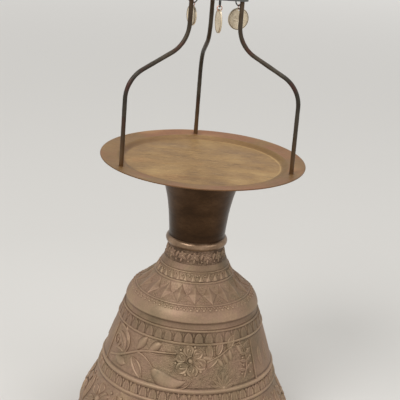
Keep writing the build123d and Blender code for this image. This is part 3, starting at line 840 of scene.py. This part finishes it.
ROW_TREE = row_tree()
skirt_guide = line_object("skirt_guide", skirt_line)
shoulder_guide = line_object("shoulder_guide", shoulder_line)


def row(name, form, line, guide, low, middle, copies, wear, turn, darkness):
    """A form repeated round the stand from its low height up, and true to size at its middle height."""
    points, faces, dirt = form
    start = make_piece(name, points, faces, dirt + darkness, stand_patina)
    radius_there = float(np.interp(middle, line[:, 1], line[:, 0]))
    distance_up = float(np.interp(low, line[:, 1], run_along(line)))
    return made_by_nodes(
        start, ROW_TREE, Sheet_line=guide, Copies=copies, Row_radius=radius_there * MM,
        Start=distance_up * MM, Turn=radians(turn), Wear=wear * MM, Finish=stand_patina,
    )


def tongue_form():
    """A swelling tongue that narrows to a round point, and a dart that hangs beside it."""
    def section(t, v):
        crown = (1 - v**6) ** 0.5 * round_ends(t, 0.05, 0.05)
        dirt = 1.3 * v**8 - 0.2 * bell(np.abs(v) - 0.6, 0.22) + 0.05
        return SUNK + (0.95 - SUNK) * crown, dirt

    tongue = raised_form(11.4, lambda t: 5.25 * (1 - t**3.8), section, steps=14, across=14)
    return arranged([(tongue, 0, 0), (leaf(7.0, 2.6, 0.9, ridge=0.5), 5.5, 11.6, 180)])


def lozenge_form():
    """A lozenge with hollow sides that rises to a crest, with seeds in the ground beside it."""
    def section(t, v):
        swell = (1 - np.abs(2 * t - 1)) ** 0.5
        edge = share_of(1 - np.abs(v), 0.08)
        dirt = 0.9 * np.abs(v) ** 14 - 0.45 * bell(v, 0.14) + 0.1
        return SUNK + (0.35 - SUNK) * edge + 1.5 * (1 - np.abs(v)) * swell, dirt

    kite = raised_form(24.2, lambda t: 8.2 * (1 - np.abs(2 * t - 1)) ** 1.25, section, steps=22, across=14)
    seed = boss(0.9, 0.55, 8)
    seed_places = [(8.2, 1.6), (6.3, 3.2), (10.1, 3.2), (8.2, 4.8), (8.2, 19.4), (7.0, 21.6), (9.4, 21.6)]
    return arranged([(kite, 0, 0)] + [(seed, x, y) for x, y in seed_places])


def zigzag_form():
    """A triangle with a crest and a bead over the gap beside it."""
    def section(t, v):
        crown = np.clip(1.6 * (1 - np.abs(v)), 0, 1)
        return SUNK + (0.9 - SUNK) * crown, np.abs(v) ** 6 - 0.35 * (1 - v**2)

    triangle = raised_form(8.0, lambda t: 3.6 * (1 - t), section, steps=6)
    return arranged([(triangle, 0, 0), (boss(1.4, 0.9, 8), 4.2, 5.8)])


def fringe_form():
    """A trefoil of a bead and two small leaves."""
    foil = leaf(4.2, 2.3, 0.8)
    return arranged([
        (boss(1.75, 0.9, 10), 0, 0), (foil, -0.9, 0.8, 32), (foil, 0.9, 0.8, -32),
        (boss(0.8, 0.6, 8), 3.4, -0.6),
    ])


def collar_floret():
    """A rough floret with a hanging point, and a curled leaf beside it."""
    petal = leaf(5.6, 4.4, 0.85, rib=0.3)
    return arranged([(petal, 0, 6.8, turn) for turn in (12, 66, -50, 118, -124)] + [
        (boss(1.7, 0.9, 10), 0, 6.8), (leaf(6.0, 3.4, 0.7), 0, 5.6, 168),
        (leaf(8.6, 4.2, 0.8, bend=0.9), 6.6, 3.6), (boss(1.2, 0.7, 8), 7.4, 2.2),
    ])


def arched_leaf_form():
    """A rounded petal with a raised edge, and a dart that hangs beside it."""
    petal = outlined(10.6, lambda t: 5.0 * np.sqrt(np.clip(1 - t**2.4, 0, 1)), 1.1, 0.5)
    return arranged([(petal, 0, 0), (leaf(5.2, 3.0, 0.8), 5.7, 10.8, 180)])


def lower_zone_form():
    """Large flowers with rounded petals, and upright leaves between them, for the zone over the foot."""
    petal = outlined_leaf(15.0, 12.6, 1.2, blunt=1.5, field=0.6)
    middle = (0, 21.5)
    flower = [(petal, *round_about(*middle, 4.4, 4.4, turn), turn) for turn in range(0, 360, 60)]
    return arranged(flower + [
        (boss(4.6, 1.3, 14), *middle),
        (outlined_leaf(36.0, 11.5, 1.2, blunt=1.2), 28.0, 2.6),
        (leaf(27.0, 3.0, 1.0, ridge=0.8), 28.0, 5.0),
        (leaf(17.0, 7.5, 1.1, bend=0.7, rib=0.3), 31.0, 4.0, -38),
        (leaf(17.0, 7.5, 1.1, bend=-0.7, rib=0.3), 25.0, 4.0, 38),
        (boss(2.2, 1.0), 19.5, 37.0),
        (boss(2.2, 1.0), 36.5, 37.0),
    ])


def rose_petal():
    """A round petal with a raised edge, a curl and a seed in it."""
    return arranged([
        (outlined(14.4, lambda t: 7.6 * np.sin(pi * t**1.3) ** 0.55, 1.3, 0.45), 0, 0),
        (leaf(9.4, 4.4, 1.25, bend=1.5, blunt=1.2), -2.2, 3.2, 6),
        (boss(1.5, 1.1, 10), 2.4, 7.4),
    ])


def flower_zone_form():
    """Half a turn of the main zone: a leafy stalk, a large leaf, clustered flowers, sprigs and a tuft."""
    stalk = [(-100, 11), (-86, 16), (-74, 22), (-59, 30), (-45, 34.5), (-32, 36.5), (-12, 38.5)]
    bud = leaf(21.0, 12.5, 2.2, bend=0.4, blunt=1.2, ridge=0.45)
    placings = [
        (stem(stalk, 4.6, 1.7), 0, 0),
        (stem([(-44, 33), (-36, 33.5), (-26, 34.8), (-13, 35.2)], 2.2, 1.0), 0, 0),
        (stem([(-98, 47), (-84, 44.5), (-76, 39), (-73, 31), (-76, 21)], 3.0, 1.4), 0, 0),
        (leaf(27.0, 10.5, 1.6, bend=-0.6, rib=0.35), -76.5, 24.0, 38),
        (leaf(20.0, 6.0, 1.3, bend=0.5, ridge=0.5), -75.0, 34.0, 52),
        (leaf(17.0, 5.0, 1.2, bend=-0.9, ridge=0.4), -80.0, 21.0, 70),
        (scroll(9.0, 1.4, 2.8, 1.2), -97.0, 29.0, -60),
        (scroll(6.0, 1.2, 2.2, 1.0), -87.0, 31.0, 20),
        (bud, -60.5, 30.5, -20),
        (bud, -45.5, 33.5, -40, 0.95),
        (outlined_leaf(27.0, 12.0, 1.3, bend=0.35), -65.5, 22.5, -126),
        (leaf(23.0, 1.6, 0.9, bend=0.35), -65.0, 21.5, -127),
        (leaf(21.0, 12.5, 1.4, bend=-0.45), -91.0, 14.5, -112),
        (stem([(-60, 29.5), (-52, 28.5), (-43, 24.5), (-35, 17.5)], 3.2, 1.4), 0, 0),
        (leaf(42.0, 17.5, 1.5, bend=-1.43, blunt=0.78), -36.5, 18.8, -142),
        (stem([(-8, 0.8), (0, 3.5), (5, 9.0), (8, 13.5)], 2.0, 1.0), 0, 0),
    ]
    rose = (4.0, 32.0)
    petal = rose_petal()
    for k, size in enumerate((0.92, 0.88, 0.98, 0.9, 0.99, 0.86)):
        turn = 60 * k + 14
        placings.append((petal, *round_about(*rose, 4.2, 4.0, turn), turn, size))
        placings.append((boss(1.9, 1.1, 10), *round_about(*rose, 16.4, 15.4, turn + 30)))
    placings += [
        (boss(3.0, 1.4, 12), *rose),
        (scroll(5.2, 1.1, 2.2, 1.3), *rose, 80),
        (stem([(22, 31), (30, 34), (40, 38.5), (52, 44.5), (66, 47.5)], 3.0, 1.4), 0, 0),
        (stem([(64, 47), (70, 40), (72, 29), (70, 17), (66, 8)], 2.2, 1.1), 0, 0),
    ]
    lobed_leaf = outlined_leaf(19.0, 9.6, 1.5, bend=-0.5, field=0.7)
    sprig = leaf(13.5, 7.4, 1.5, ridge=0.5)
    lobed_places = [(25, 33, -8), (33, 37, -34), (36, 36.5, 118), (47, 42, -44)]
    sprig_places = [(30, 34, 82), (42, 39, -158), (50, 43, -176), (34, 35, -146), (60, 46, -150)]
    placings += [(lobed_leaf, *place) for place in lobed_places]
    placings += [(sprig, *place) for place in sprig_places]
    twig_leaf = leaf(10.5, 5.4, 1.2, rib=0.25)
    for x, y in ((70.5, 41), (73, 33), (72.5, 25), (69.5, 16)):
        placings += [
            (twig_leaf, x, y, -62), (twig_leaf, x, y, 74),
            (boss(1.7, 1.1, 10), x + 5.5, y - 3.8), (boss(1.5, 1.0, 10), x - 6.0, y - 3.2),
        ]
    for turn in range(-72, 73, 24):
        placings.append((leaf(17.0 - abs(turn) / 22, 5.0, 1.1, rib=0.25), 40.0, 1.6, turn))
    placings += [
        (boss(2.5, 1.1), 40.0, 2.6),
        (stem([(83.5, 1.0), (83.2, 22.0), (83.6, 46.0)], 2.4, 1.0), 0, 0),
        (stem([(-107, 1.0), (-106.8, 22.0), (-107, 46.0)], 2.4, 1.0), 0, 0),
    ]
    for x in (97, 113, 129):
        placings.append((outlined_leaf(24.0, 8.0, 0.6, field=0.3), x, 11.0, 8 - x / 12))
    return arranged(placings)


# Rows: form, sheet, low and middle height, copies, depth of wear, turn of the first copy, darkness all over
on_skirt = (skirt_line, skirt_guide)
on_shoulder = (shoulder_line, shoulder_guide)
ROWS = {
    "tongue_band": (tongue_form, on_skirt, 127.8, 134.0, 44, 0.3, -90.0, 0.3),
    "flower_zone": (flower_zone_form, on_skirt, 79.6, 102.0, 2, 0.35, -90.0, 0.0),
    "arched_leaf_band": (arched_leaf_form, on_skirt, 66.2, 66.2, 54, 0.35, -90.0, 0.0),
    "lower_flowers": (lower_zone_form, on_skirt, 21.5, 42.0, 12, 0.35, -90.0, 0.0),
    "lozenge_band": (lozenge_form, on_shoulder, 164.3, 172.0, 20, 0.4, -104.5, 0.0),
    "zigzag_band": (zigzag_form, on_shoulder, 182.9, 187.0, 30, 0.3, -90.0, 0.15),
    "bead_fringe": (fringe_form, on_shoulder, 160.3, 160.3, 60, 0.7, -90.0, 0.0),
    "collar_florets": (collar_floret, on_shoulder, 200.0, 206.0, 14, 1.0, -90.0, 0.2),
}
stand_rows = [row(name, form(), *sheet, *rest) for name, (form, sheet, *rest) in ROWS.items()]
for guide in (skirt_guide, shoulder_guide):
    bpy.data.objects.remove(guide)


# Neck, bead and foot ring

neck_steps, neck_sides = NECK_GRID
neck_side = np.vstack([[(NECK[0][0], JOINT_Z)], smooth_line(NECK, neck_steps)])
neck_inside = neck_side - line_normals(neck_side) * STAND_SHEET
for end in (0, -1):
    neck_inside[end] = neck_side[end] - (STAND_SHEET, 0)
neck_outline = np.vstack([neck_side, neck_inside[::-1]])
neck_face = slice(1, neck_steps + 1)
neck_height = neck_outline[neck_face, 1:]
neck_out = np.zeros((len(neck_outline), neck_sides))
neck_out[neck_face] = dented(NECK_GRID, NECK_SEED, NECK_DENTS)
for at in SPUN_LINES:
    neck_out[neck_face] -= SPUN_DEPTH * bell(neck_height - at, SPUN_BREADTH)
neck_dirt = np.full((len(neck_outline), neck_sides), NECK_TARNISH[0])
neck_dirt[neck_face] = varied(NECK_GRID, NECK_SEED + 3, *NECK_TARNISH)
neck_dirt[neck_face] += NECK_FOOT_TARNISH * bell(neck_height - NECK[0][1], NECK_FOOT_BREADTH)
neck_piece = turned("neck_trumpet", neck_outline, neck_sides, neck_patina, neck_out, neck_dirt)

bead_rows, bead_sides = BEAD_GRID
bead_share = np.linspace(-1, 1, bead_rows)
bead_bow = (BEAD_HALF_HEIGHT**2 + BEAD_STAND_OUT**2) / (2 * BEAD_STAND_OUT)
bead_reach = np.arcsin(BEAD_HALF_HEIGHT / bead_bow) * bead_share
bead_radius = BEAD_SEAT + BEAD_STAND_OUT - bead_bow * (1 - np.cos(bead_reach))
bead_side = np.column_stack([bead_radius, JOINT_Z + bead_bow * np.sin(bead_reach)])
bead_out = dented(BEAD_GRID, BEAD_SEED, BEAD_DENTS)
bead_out[0] = bead_out[-1] = 0
bead_dirt = varied(BEAD_GRID, BEAD_SEED + 2, *BEAD_TARNISH)
bead_dirt += BEAD_EDGE_TARNISH * bead_share[:, None] ** 4
bead_piece = turned("neck_bead_ring", bead_side, bead_sides, bead_patina, bead_out, bead_dirt)

foot_outline = np.vstack([smooth_line(FOOT_SOLE, steps=3), smooth_line(FOOT_SIDE, steps=16), FOOT_INSIDE])
foot_dirt = varied((len(foot_outline), FOOT_SIDES), FOOT_SEED + 1, *FOOT_TARNISH)
foot_piece = turned("foot_ring_turned", foot_outline, FOOT_SIDES, stand_patina, tarnish=foot_dirt)


# Pan: a flat floor, a low wall and a slowly rising brim with a rounded edge, over a sloping underside

under_slope = PAN_DEPTH / (PAN_RADIUS - PAN_FLOOR_RADIUS)


def underside(radius):
    """The height of the pan's underside, by radius."""
    return PAN_UNDERSIDE + under_slope * np.clip(radius - PAN_FLOOR_RADIUS, 0, None)


def wall_height(radius):
    """How far the pan's upper side stands over the floor, by radius, with soft bends at the wall's ends."""
    climb = share_of(radius - WALL_FOOT_RADIUS, WALL_TOP_RADIUS - WALL_FOOT_RADIUS)
    along_brim = share_of(radius - WALL_TOP_RADIUS, PAN_RADIUS - WALL_TOP_RADIUS)
    return WALL_RISE * climb**2 * (3 - 2 * climb) + (PAN_DEPTH - WALL_RISE) * along_brim


# Rings of points: on the upper side from the brim's edge inward, on the underside from the middle outward
upper_radii = np.concatenate([
    np.linspace(PAN_RADIUS - 0.6, WALL_TOP_RADIUS + 1.5, 20),
    np.linspace(WALL_TOP_RADIUS + 1.0, WALL_FOOT_RADIUS - 1.0, 30),
    np.linspace(WALL_FOOT_RADIUS - 2.0, 0.0, 54),
])
under_radii = np.concatenate([
    np.linspace(0.0, PAN_FLOOR_RADIUS - 4.0, 14), np.linspace(PAN_FLOOR_RADIUS - 3.0, PAN_RADIUS - 1.2, 18),
])
upper = np.column_stack([upper_radii, PAN_UNDERSIDE + PAN_SHEET + wall_height(upper_radii)])
under = np.column_stack([under_radii, underside(under_radii)])
pan_outline = np.vstack([under, np.array(PAN_LIP) + (PAN_RADIUS, BRIM_TOP), upper])
pan_angle = np.arange(PAN_SIDES) * tau / PAN_SIDES
pan_upper = slice(len(pan_outline) - len(upper), None)
reach = upper[:, :1]
fade = share_of(reach, STILL_RADIUS)
pan_grid = (len(upper), PAN_SIDES)
hammered = dented(pan_grid, PAN_SEED, PAN_DENTS)
pan_out = np.zeros((len(pan_outline), PAN_SIDES))
pan_out[pan_upper] = hammered * fade
past_foot = share_of(pan_outline[:, :1] - WALL_TONE_FROM, WALL_TONE_BREADTH)
past_top = share_of(pan_outline[:, :1] - BRIM_TONE_FROM, BRIM_TONE_BREADTH)
# Underside and lip start dark, as tarnish and as painted shade along the lip's edge; the upper side adds
# painted shade and a painted highlight on its wall
pan_dirt_and_painted_light = np.full((len(pan_outline), PAN_SIDES), UNDERSIDE_TARNISH_AND_SHADE)
blotched = PAN_SPREAD * dents(pan_grid, PAN_SEED + 3, PAN_SPREAD_REACH)
pan_dirt_and_painted_light[pan_upper] = PAN_TARNISH + (blotched - HAMMER_WEAR * hammered) * fade
up_wall = reach - WALL_FOOT_RADIUS
# Painted shade on the pan's wall, darkest towards the back left
wall_shade_mask = (1 + np.cos(pan_angle - PAINTED_WALL_SHADE_TURN)) * bell(up_wall - PAINTED_WALL_SHADE_AT, PAINTED_WALL_SHADE_BREADTH, 4)
# A painted highlight near the wall's foot, on the side towards the back right
wall_highlight_mask = np.clip(np.cos(pan_angle - PAINTED_WALL_HIGHLIGHT_TURN), 0, 1)
wall_highlight_mask = wall_highlight_mask * bell(up_wall - PAINTED_WALL_HIGHLIGHT_AT, PAINTED_WALL_HIGHLIGHT_BREADTH)
pan_dirt_and_painted_light[pan_upper] += PAINTED_WALL_SHADE * wall_shade_mask - PAINTED_WALL_HIGHLIGHT * wall_highlight_mask
for angle in ROD_ANGLES.values():
    rod_x, rod_y, _ = radial_point(ROD_FOOT_RADIUS, angle, 0)
    away = np.hypot(reach * np.cos(pan_angle) - rod_x, reach * np.sin(pan_angle) - rod_y)
    pan_dirt_and_painted_light[pan_upper] += ROD_FOOT_DIRT * bell(away, ROD_FOOT_DIRT_REACH)
pan_piece = turned(
    "pan_dish", pan_outline, PAN_SIDES, pan_patina, pan_out, pan_dirt_and_painted_light, brim=(past_foot + past_top) / 2,
)


# Bars and wires: a round section carried along a path, with rounded corners and the unevenness of forging

BAR_SIDES = 18
BEND_STEPS = 14

# Forging: the noise's scale and detail
FORGING_NOISE = (90.0, 2.0)


def bar_tree():
    nodes, given = geometry_tree(
        "bent_bar", "Bar", Path="Geometry", Bar_radius="Float", Bend_radius="Float", Step="Float",
        Unevenness="Float", Finish="Material",
    )
    path = nodes.add("GeometryNodeMeshToCurve", {"Mesh": given["Path"]})[0]
    bends = {"Curve": path, "Count": BEND_STEPS, "Radius": given["Bend radius"]}
    rounded = nodes.add("GeometryNodeFilletCurve", bends, mode="POLY")[0]
    stride = {"Curve": rounded, "Length": given["Step"]}
    even = nodes.add("GeometryNodeResampleCurve", stride, mode="LENGTH")[0]
    section = nodes.add("GeometryNodeCurvePrimitiveCircle", {"Resolution": BAR_SIDES, "Radius": 1.0})[0]
    forging = nodes.noise(nodes.add("GeometryNodeInputPosition")[0], *FORGING_NOISE)
    centred = nodes.maths("SUBTRACT", forging, 0.5)
    uneven = nodes.maths("MULTIPLY_ADD", centred, given["Unevenness"], 1.0)
    slimming = nodes.add("GeometryNodeInputNamedAttribute", {"Name": "thickness"}, data_type="FLOAT")[0]
    radius = nodes.maths("MULTIPLY", nodes.maths("MULTIPLY", uneven, slimming), given["Bar radius"])
    sweep = {"Curve": even, "Profile Curve": section, "Scale": radius, "Fill Caps": True}
    bar_mesh = nodes.add("GeometryNodeCurveToMesh", sweep)[0]
    soft = nodes.add("GeometryNodeSetShadeSmooth", {"Geometry": bar_mesh})[0]
    return finished_tree(nodes, soft, given["Finish"], "Bar")


BAR_TREE = bar_tree()


def bar(name, path, radius, finish, step, unevenness, bend=0.0, thickness=None, dirt=None):
    """A bar or wire along a path of points in millimetres."""
    count = len(path)
    edges = [(i, i + 1) for i in range(count - 1)]
    layers = {"thickness": thickness or [1.0] * count, "tarnish": dirt or [0.0] * count}
    mesh = new_mesh(name, path, edges, [], **layers)
    piece = made_by_nodes(
        put_in_scene(name, mesh), BAR_TREE, Bar_radius=radius * MM, Bend_radius=bend * MM, Step=step * MM,
        Unevenness=unevenness, Finish=finish,
    )
    weld(piece.data, BAR_WELD, face_outward=True)
    piece.data.set_sharp_from_angle(angle=radians(BAR_SHARP))
    return piece


washer_underside = underside(ROD_FOOT_RADIUS) - WASHER_THICKNESS * (1 + under_slope**2) ** 0.5

# A rod's corners: distance from the axis, height, tarnish
# At the foot the tarnish is partly rust and partly a painted reflection of the pan
rod_stations = [
    (ROD_FOOT_RADIUS, washer_underside, 0.75), (ROD_FOOT_RADIUS, RUST_AND_REFLECTION_TOP_Z, 0.1),
    (ROD_FOOT_RADIUS, ROD_LOWER_CORNER_Z, 0.0), (ROD_TOP_RADIUS, ROD_UPPER_CORNER_Z, 0.1),
    (ROD_TOP_RADIUS, PLATE_TOP_Z, 0.35),
]
rod_tarnish_and_reflection = [dirt for _, _, dirt in rod_stations]
rod_pieces = {}
for side, angle in ROD_ANGLES.items():
    corners = [radial_point(radius, angle, height) for radius, height, _ in rod_stations]
    rod_pieces[side] = bar(
        f"bent_rod_{side}", corners, ROD_RADIUS, rod_iron,
        step=2.5, unevenness=0.22, bend=ROD_BEND, dirt=rod_tarnish_and_reflection,
    )


# Riveted rod ends: a low dome on the plate and one under the rim for each rod

def studs_tree():
    nodes, given = geometry_tree(
        "studs_on_points", "Studs", Points="Geometry", Stud="Object", Size="Float", Finish="Material",
    )
    facing = nodes.add("GeometryNodeInputNamedAttribute", {"Name": "facing"}, data_type="FLOAT_VECTOR")
    aligned = nodes.add("FunctionNodeAlignRotationToVector", {"Vector": facing["Attribute"]}, axis="Z")[0]
    stud = nodes.add("GeometryNodeObjectInfo", {"Object": given["Stud"]}, transform_space="ORIGINAL")
    placing = {
        "Points": given["Points"], "Instance": stud["Geometry"], "Rotation": aligned, "Scale": given["Size"],
    }
    copies = nodes.add("GeometryNodeInstanceOnPoints", placing)[0]
    return finished_tree(nodes, copies, given["Finish"], "Studs")


STUDS_TREE = studs_tree()


def studs(name, places, stud, finish, size=1.0):
    """A stud at each place, a pair of point and facing."""
    mesh = new_mesh(name, [point for point, _ in places], [], [])
    layer = mesh.attributes.new("facing", "FLOAT_VECTOR", "POINT")
    layer.data.foreach_set("vector", [c for _, facing in places for c in facing])
    return made_by_nodes(put_in_scene(name, mesh), STUDS_TREE, Stud=stud, Size=size, Finish=finish)


rivet_stud = make_piece("rivet_stud", *boss(3.5, 1.6, 20), rod_iron)
rivet_places = []
for angle in ROD_ANGLES.values():
    rod_foot = radial_point(ROD_FOOT_RADIUS, angle, washer_underside)
    rivet_places.append((radial_point(ROD_TOP_RADIUS, angle, PLATE_TOP_Z), tuple(UP)))
    rivet_places.append((rod_foot, radial_point(under_slope, angle, -1)))
rod_heads = studs("rod_heads", rivet_places, rivet_stud, rod_iron)
bpy.data.objects.remove(rivet_stud)


# Swivel hook

def hook_bend(centre_x, centre_z, radius, start, sweep, count):
    """Points round a bend of the hook, without its first one."""
    swings = [start + sweep * k / count for k in range(1, count + 1)]
    return [(centre_x + radius * cos(swing), 0, centre_z + radius * sin(swing)) for swing in swings]


hook_turn = acos(HOOK_BACK_BEND / (HOOK_BACK_BEND + HOOK_BOW))
hook_centre_z = HOOK_SHANK_TOP_Z + (HOOK_BACK_BEND + HOOK_BOW) * sin(hook_turn)
hook_path = [(0, 0, z) for z in np.linspace(HOOK_SHANK_FOOT_Z, HOOK_SHANK_TOP_Z, 6)]
hook_path += hook_bend(HOOK_BACK_BEND, HOOK_SHANK_TOP_Z, HOOK_BACK_BEND, pi, -hook_turn, count=10)
hook_path += hook_bend(0, hook_centre_z, HOOK_BOW, -hook_turn, radians(HOOK_SWEEP), count=48)
hook_share = np.linspace(0, 1, len(hook_path))
hook_slim = (1.0 - HOOK_TAPER * share_of(hook_share - HOOK_TAPER_FROM, 1 - HOOK_TAPER_FROM)).tolist()
hook_wire = bar(
    "hook_wire", hook_path, HOOK_RADIUS, plate_steel, step=1.0, unevenness=0.10, thickness=hook_slim,
)
hook_collar = turned("hook_collar", HOOK_COLLAR, HOOK_SIDES, plate_steel)
hook_head = turned("hook_head", HOOK_HEAD, HOOK_SIDES, plate_steel)


# Pendants

def node_centre(name):
    """The middle of a solid, in millimetres."""
    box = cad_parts[name].bound_box
    return (Vector(box[0]) + Vector(box[6])) / 2 / MM


def ring_path(solid, across, radius, gap_turn, count):
    """A wire ring's path in the middle of its solid, about a level axis, open by a small gap at its side."""
    centre = node_centre(solid)
    level = UP.cross(across.normalized())
    start = radians(gap_turn) + RING_GAP / 2
    swings = [start + (tau - RING_GAP) * k / count for k in range(count + 1)]
    return [tuple(centre + level * (radius * cos(swing)) + UP * (radius * sin(swing))) for swing in swings]


def coin_side(radius):
    """One coin face, drawn flat in shares of its radius: a rim darkened as painted shade, and a palmette
    of leaves over a bar.
    """
    placings = [(hoop(radius * 0.95, radius * 0.09, 0.22), 0, 0)]
    for turn, length in ((0, 0.92), (34, 0.84), (-34, 0.84), (68, 0.72), (-68, 0.72)):
        frond = leaf(radius * length, radius * 0.28, 0.26, bend=radians(-turn) * 0.35, rib=0.06)
        placings.append((frond, 0, -radius * 0.24, turn))
    placings.append((leaf(radius * 1.1, radius * 0.14, 0.2), -radius * 0.55, -radius * 0.34, -90))
    placings.append((boss(radius * 0.10, 0.26, 10), 0, -radius * 0.24))
    for turn in (148, 180, 212):
        placings.append((leaf(radius * 0.26, radius * 0.12, 0.18), 0, -radius * 0.42, turn))
    points, faces, dirt = arranged(placings)
    return points, faces, COIN_GRIME_AND_SHADE * dirt


def on_coin(point, centre, right, out):
    """A point drawn flat, brought to its place on a coin's face."""
    x, y, z = point
    return tuple(centre + right * x + UP * y + out * (COIN_THICKNESS / 2 + z))


pearl_stud = make_piece("pearl_stud", *boss(0.52, 0.30, 8), coin_gilt)
pearl_swings = [tau * (k + 0.5) / PEARLS for k in range(PEARLS)]
pearl_swings = [swing for swing in pearl_swings if abs(swing - pi / 2) >= PEARL_GAP]
pendant_pieces = {}
for side, (edge_rods, coin_turn, coin_width) in PENDANTS.items():
    first, second = (Vector(radial_point(ROD_TOP_RADIUS, ROD_ANGLES[rod], 0)) for rod in edge_rods)
    flat_way = Vector(radial_point(1, coin_turn, 0))
    split_path = ring_path(f"split_ring_{side}", second - first, SPLIT_RING_RADIUS, gap_turn=250, count=64)
    jump_path = ring_path(f"jump_ring_{side}", flat_way, JUMP_RING_RADIUS, gap_turn=20, count=40)
    split_ring = bar(
        f"split_ring_wire_{side}", split_path, SPLIT_RING_WIRE, ring_wire, step=0.5, unevenness=0.05,
    )
    jump_ring = bar(
        f"jump_ring_wire_{side}", jump_path, JUMP_RING_WIRE, copper_wire, step=0.35, unevenness=0.05,
    )
    points, faces, dirt = coin_side(coin_width / 2)
    pearl_reach = coin_width / 2 * PEARL_CIRCLE
    pearl_spots = [(pearl_reach * cos(swing), pearl_reach * sin(swing), 0) for swing in pearl_swings]
    relief = []
    pearls = []
    for face_way in (1, -1):
        out = flat_way.cross(UP) * face_way
        face = (node_centre(f"coin_{side}"), flat_way * face_way, out)
        relief.append((np.array([on_coin(point, *face) for point in points]), faces, dirt))
        pearls += [(on_coin(spot, *face), tuple(out)) for spot in pearl_spots]
    coin_relief = make_piece(f"coin_relief_{side}", *gathered(relief), coin_gilt)
    coin_pearls = studs(f"coin_pearls_{side}", pearls, pearl_stud, coin_gilt)
    pendant_pieces[side] = (split_ring, jump_ring, coin_relief, coin_pearls)
bpy.data.objects.remove(pearl_stud)


# What each piece stands for and moves with

def fit(piece, body, slot, *nodes):
    if nodes:
        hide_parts(*nodes)
    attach(piece, body)


fit(skirt_sheet, "stand", "stand_brass", "bell_skirt")
fit(shoulder_sheet, "stand", "stand_brass", "shoulder")
for piece in stand_rows:
    fit(piece, "stand", "stand_brass")
fit(neck_piece, "stand", "neck_brass", "neck")
fit(bead_piece, "stand", "neck_brass", "neck_bead")
fit(foot_piece, "stand", "stand_brass", "foot_ring")
fit(pan_piece, "pan", "pan_brass", "pan")
for side, piece in rod_pieces.items():
    fit(piece, "pan", "rod_iron", f"rod_{side}")
fit(rod_heads, "pan", "rod_iron")
fit(hook_wire, "hook", "plate_steel", "swivel_hook")
fit(hook_collar, "hook", "plate_steel")
fit(hook_head, "hook", "plate_steel")
for side, (split_ring, jump_ring, coin_relief, coin_pearls) in pendant_pieces.items():
    fit(split_ring, f"ring_{side}", "ring_iron", f"split_ring_{side}")
    fit(jump_ring, f"coin_{side}", "ring_copper", f"jump_ring_{side}")
    fit(coin_relief, f"coin_{side}", "coin_brass")
    fit(coin_pearls, f"coin_{side}", "coin_brass")

solid_finishes = {
    "bottom_disc": stand_patina, "pan_collar": pan_patina, "rod_washers": rod_iron, "top_plate": plate_steel,
    "coin_right": coin_gilt, "coin_left": coin_gilt, "coin_front": coin_gilt,
}
for node, finish in solid_finishes.items():
    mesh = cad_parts[node].data
    mesh.materials.clear()
    mesh.materials.append(finish)


# Floor, light and camera

PALE = tone(206, 204, 200)
WARM_WHITE = (1.0, 0.99, 0.97, 1.0)
FLOOR_REACH = 40.0
LIGHT_AIM = Vector((0, 0, 0.25))

# The floor's own light: where it begins, where it is full, its least and its most
FLOOR_GLOW = (0.6, 3.6, 0.0, 0.36)

# The sky's strength as light alone, and as it is seen
SKY_STRENGTH = (0.5, 0.68)

# Lamps: place and width in metres, power in watts
LAMPS = {
    "key_light": ((-0.9, -1.2, 1.7), 1.0, 25.0),
    "fill_light": ((1.5, -0.9, 1.1), 1.2, 6.5),
    "top_light": ((0.2, 0.4, 2.1), 1.2, 16.0),
}


def seen_directly(nodes):
    """1 for rays from the camera or a glossy surface, else 0."""
    rays = nodes.add("ShaderNodeLightPath")
    return nodes.maths("MAXIMUM", rays["Is Camera Ray"], rays["Is Glossy Ray"])


def floor_finish():
    """Pale paint; far from the object, where the lamps fade, a little light of its own keeps it pale."""
    material, nodes, shader = new_finish("floor_paint")
    place = nodes.add("ShaderNodeTexCoord")["Object"]
    distance = nodes.add("ShaderNodeVectorMath", {0: place}, operation="LENGTH")["Value"]
    glow = nodes.maths("MULTIPLY", nodes.ranged(distance, *FLOOR_GLOW), seen_directly(nodes))
    nodes.feed(shader, {
        "Base Color": PALE, "Roughness": 0.9, "Emission Color": WARM_WHITE, "Emission Strength": glow,
    })
    return material


floor_mesh = bpy.data.meshes.new("floor")
floor_corners = [(x * FLOOR_REACH, y * FLOOR_REACH, 0) for x, y in ((-1, -1), (1, -1), (1, 1), (-1, 1))]
floor_mesh.from_pydata(floor_corners, [], [(0, 1, 2, 3)])
floor_mesh.materials.append(floor_finish())
floor = put_in_scene("floor", floor_mesh)

world = bpy.data.worlds.new("studio")
world.use_nodes = True
sky = NodeTree(world.node_tree)
strength = sky.ranged(seen_directly(sky), 0.0, 1.0, *SKY_STRENGTH)
sky.feed(world.node_tree.nodes["Background"].inputs, {"Color": WARM_WHITE, "Strength": strength})
scene.world = world

for name, (place, width, power) in LAMPS.items():
    lamp = bpy.data.lights.new(name, "AREA")
    lamp.shape = "DISK"
    lamp.size = width
    lamp.energy = power
    lit = put_in_scene(name, lamp)
    lit.location = place
    lit.rotation_euler = (LIGHT_AIM - Vector(place)).to_track_quat("-Z", "Y").to_euler()

camera_data = bpy.data.cameras.new("photo_camera")
camera_data.sensor_width = CAMERA_SENSOR
camera_data.lens = CAMERA_LENS
camera = put_in_scene("photo_camera", camera_data)
camera.location = CAMERA_PLACE
camera.rotation_euler = [radians(angle) for angle in CAMERA_TURN]
scene.camera = camera
scene.view_settings.view_transform = "Standard"
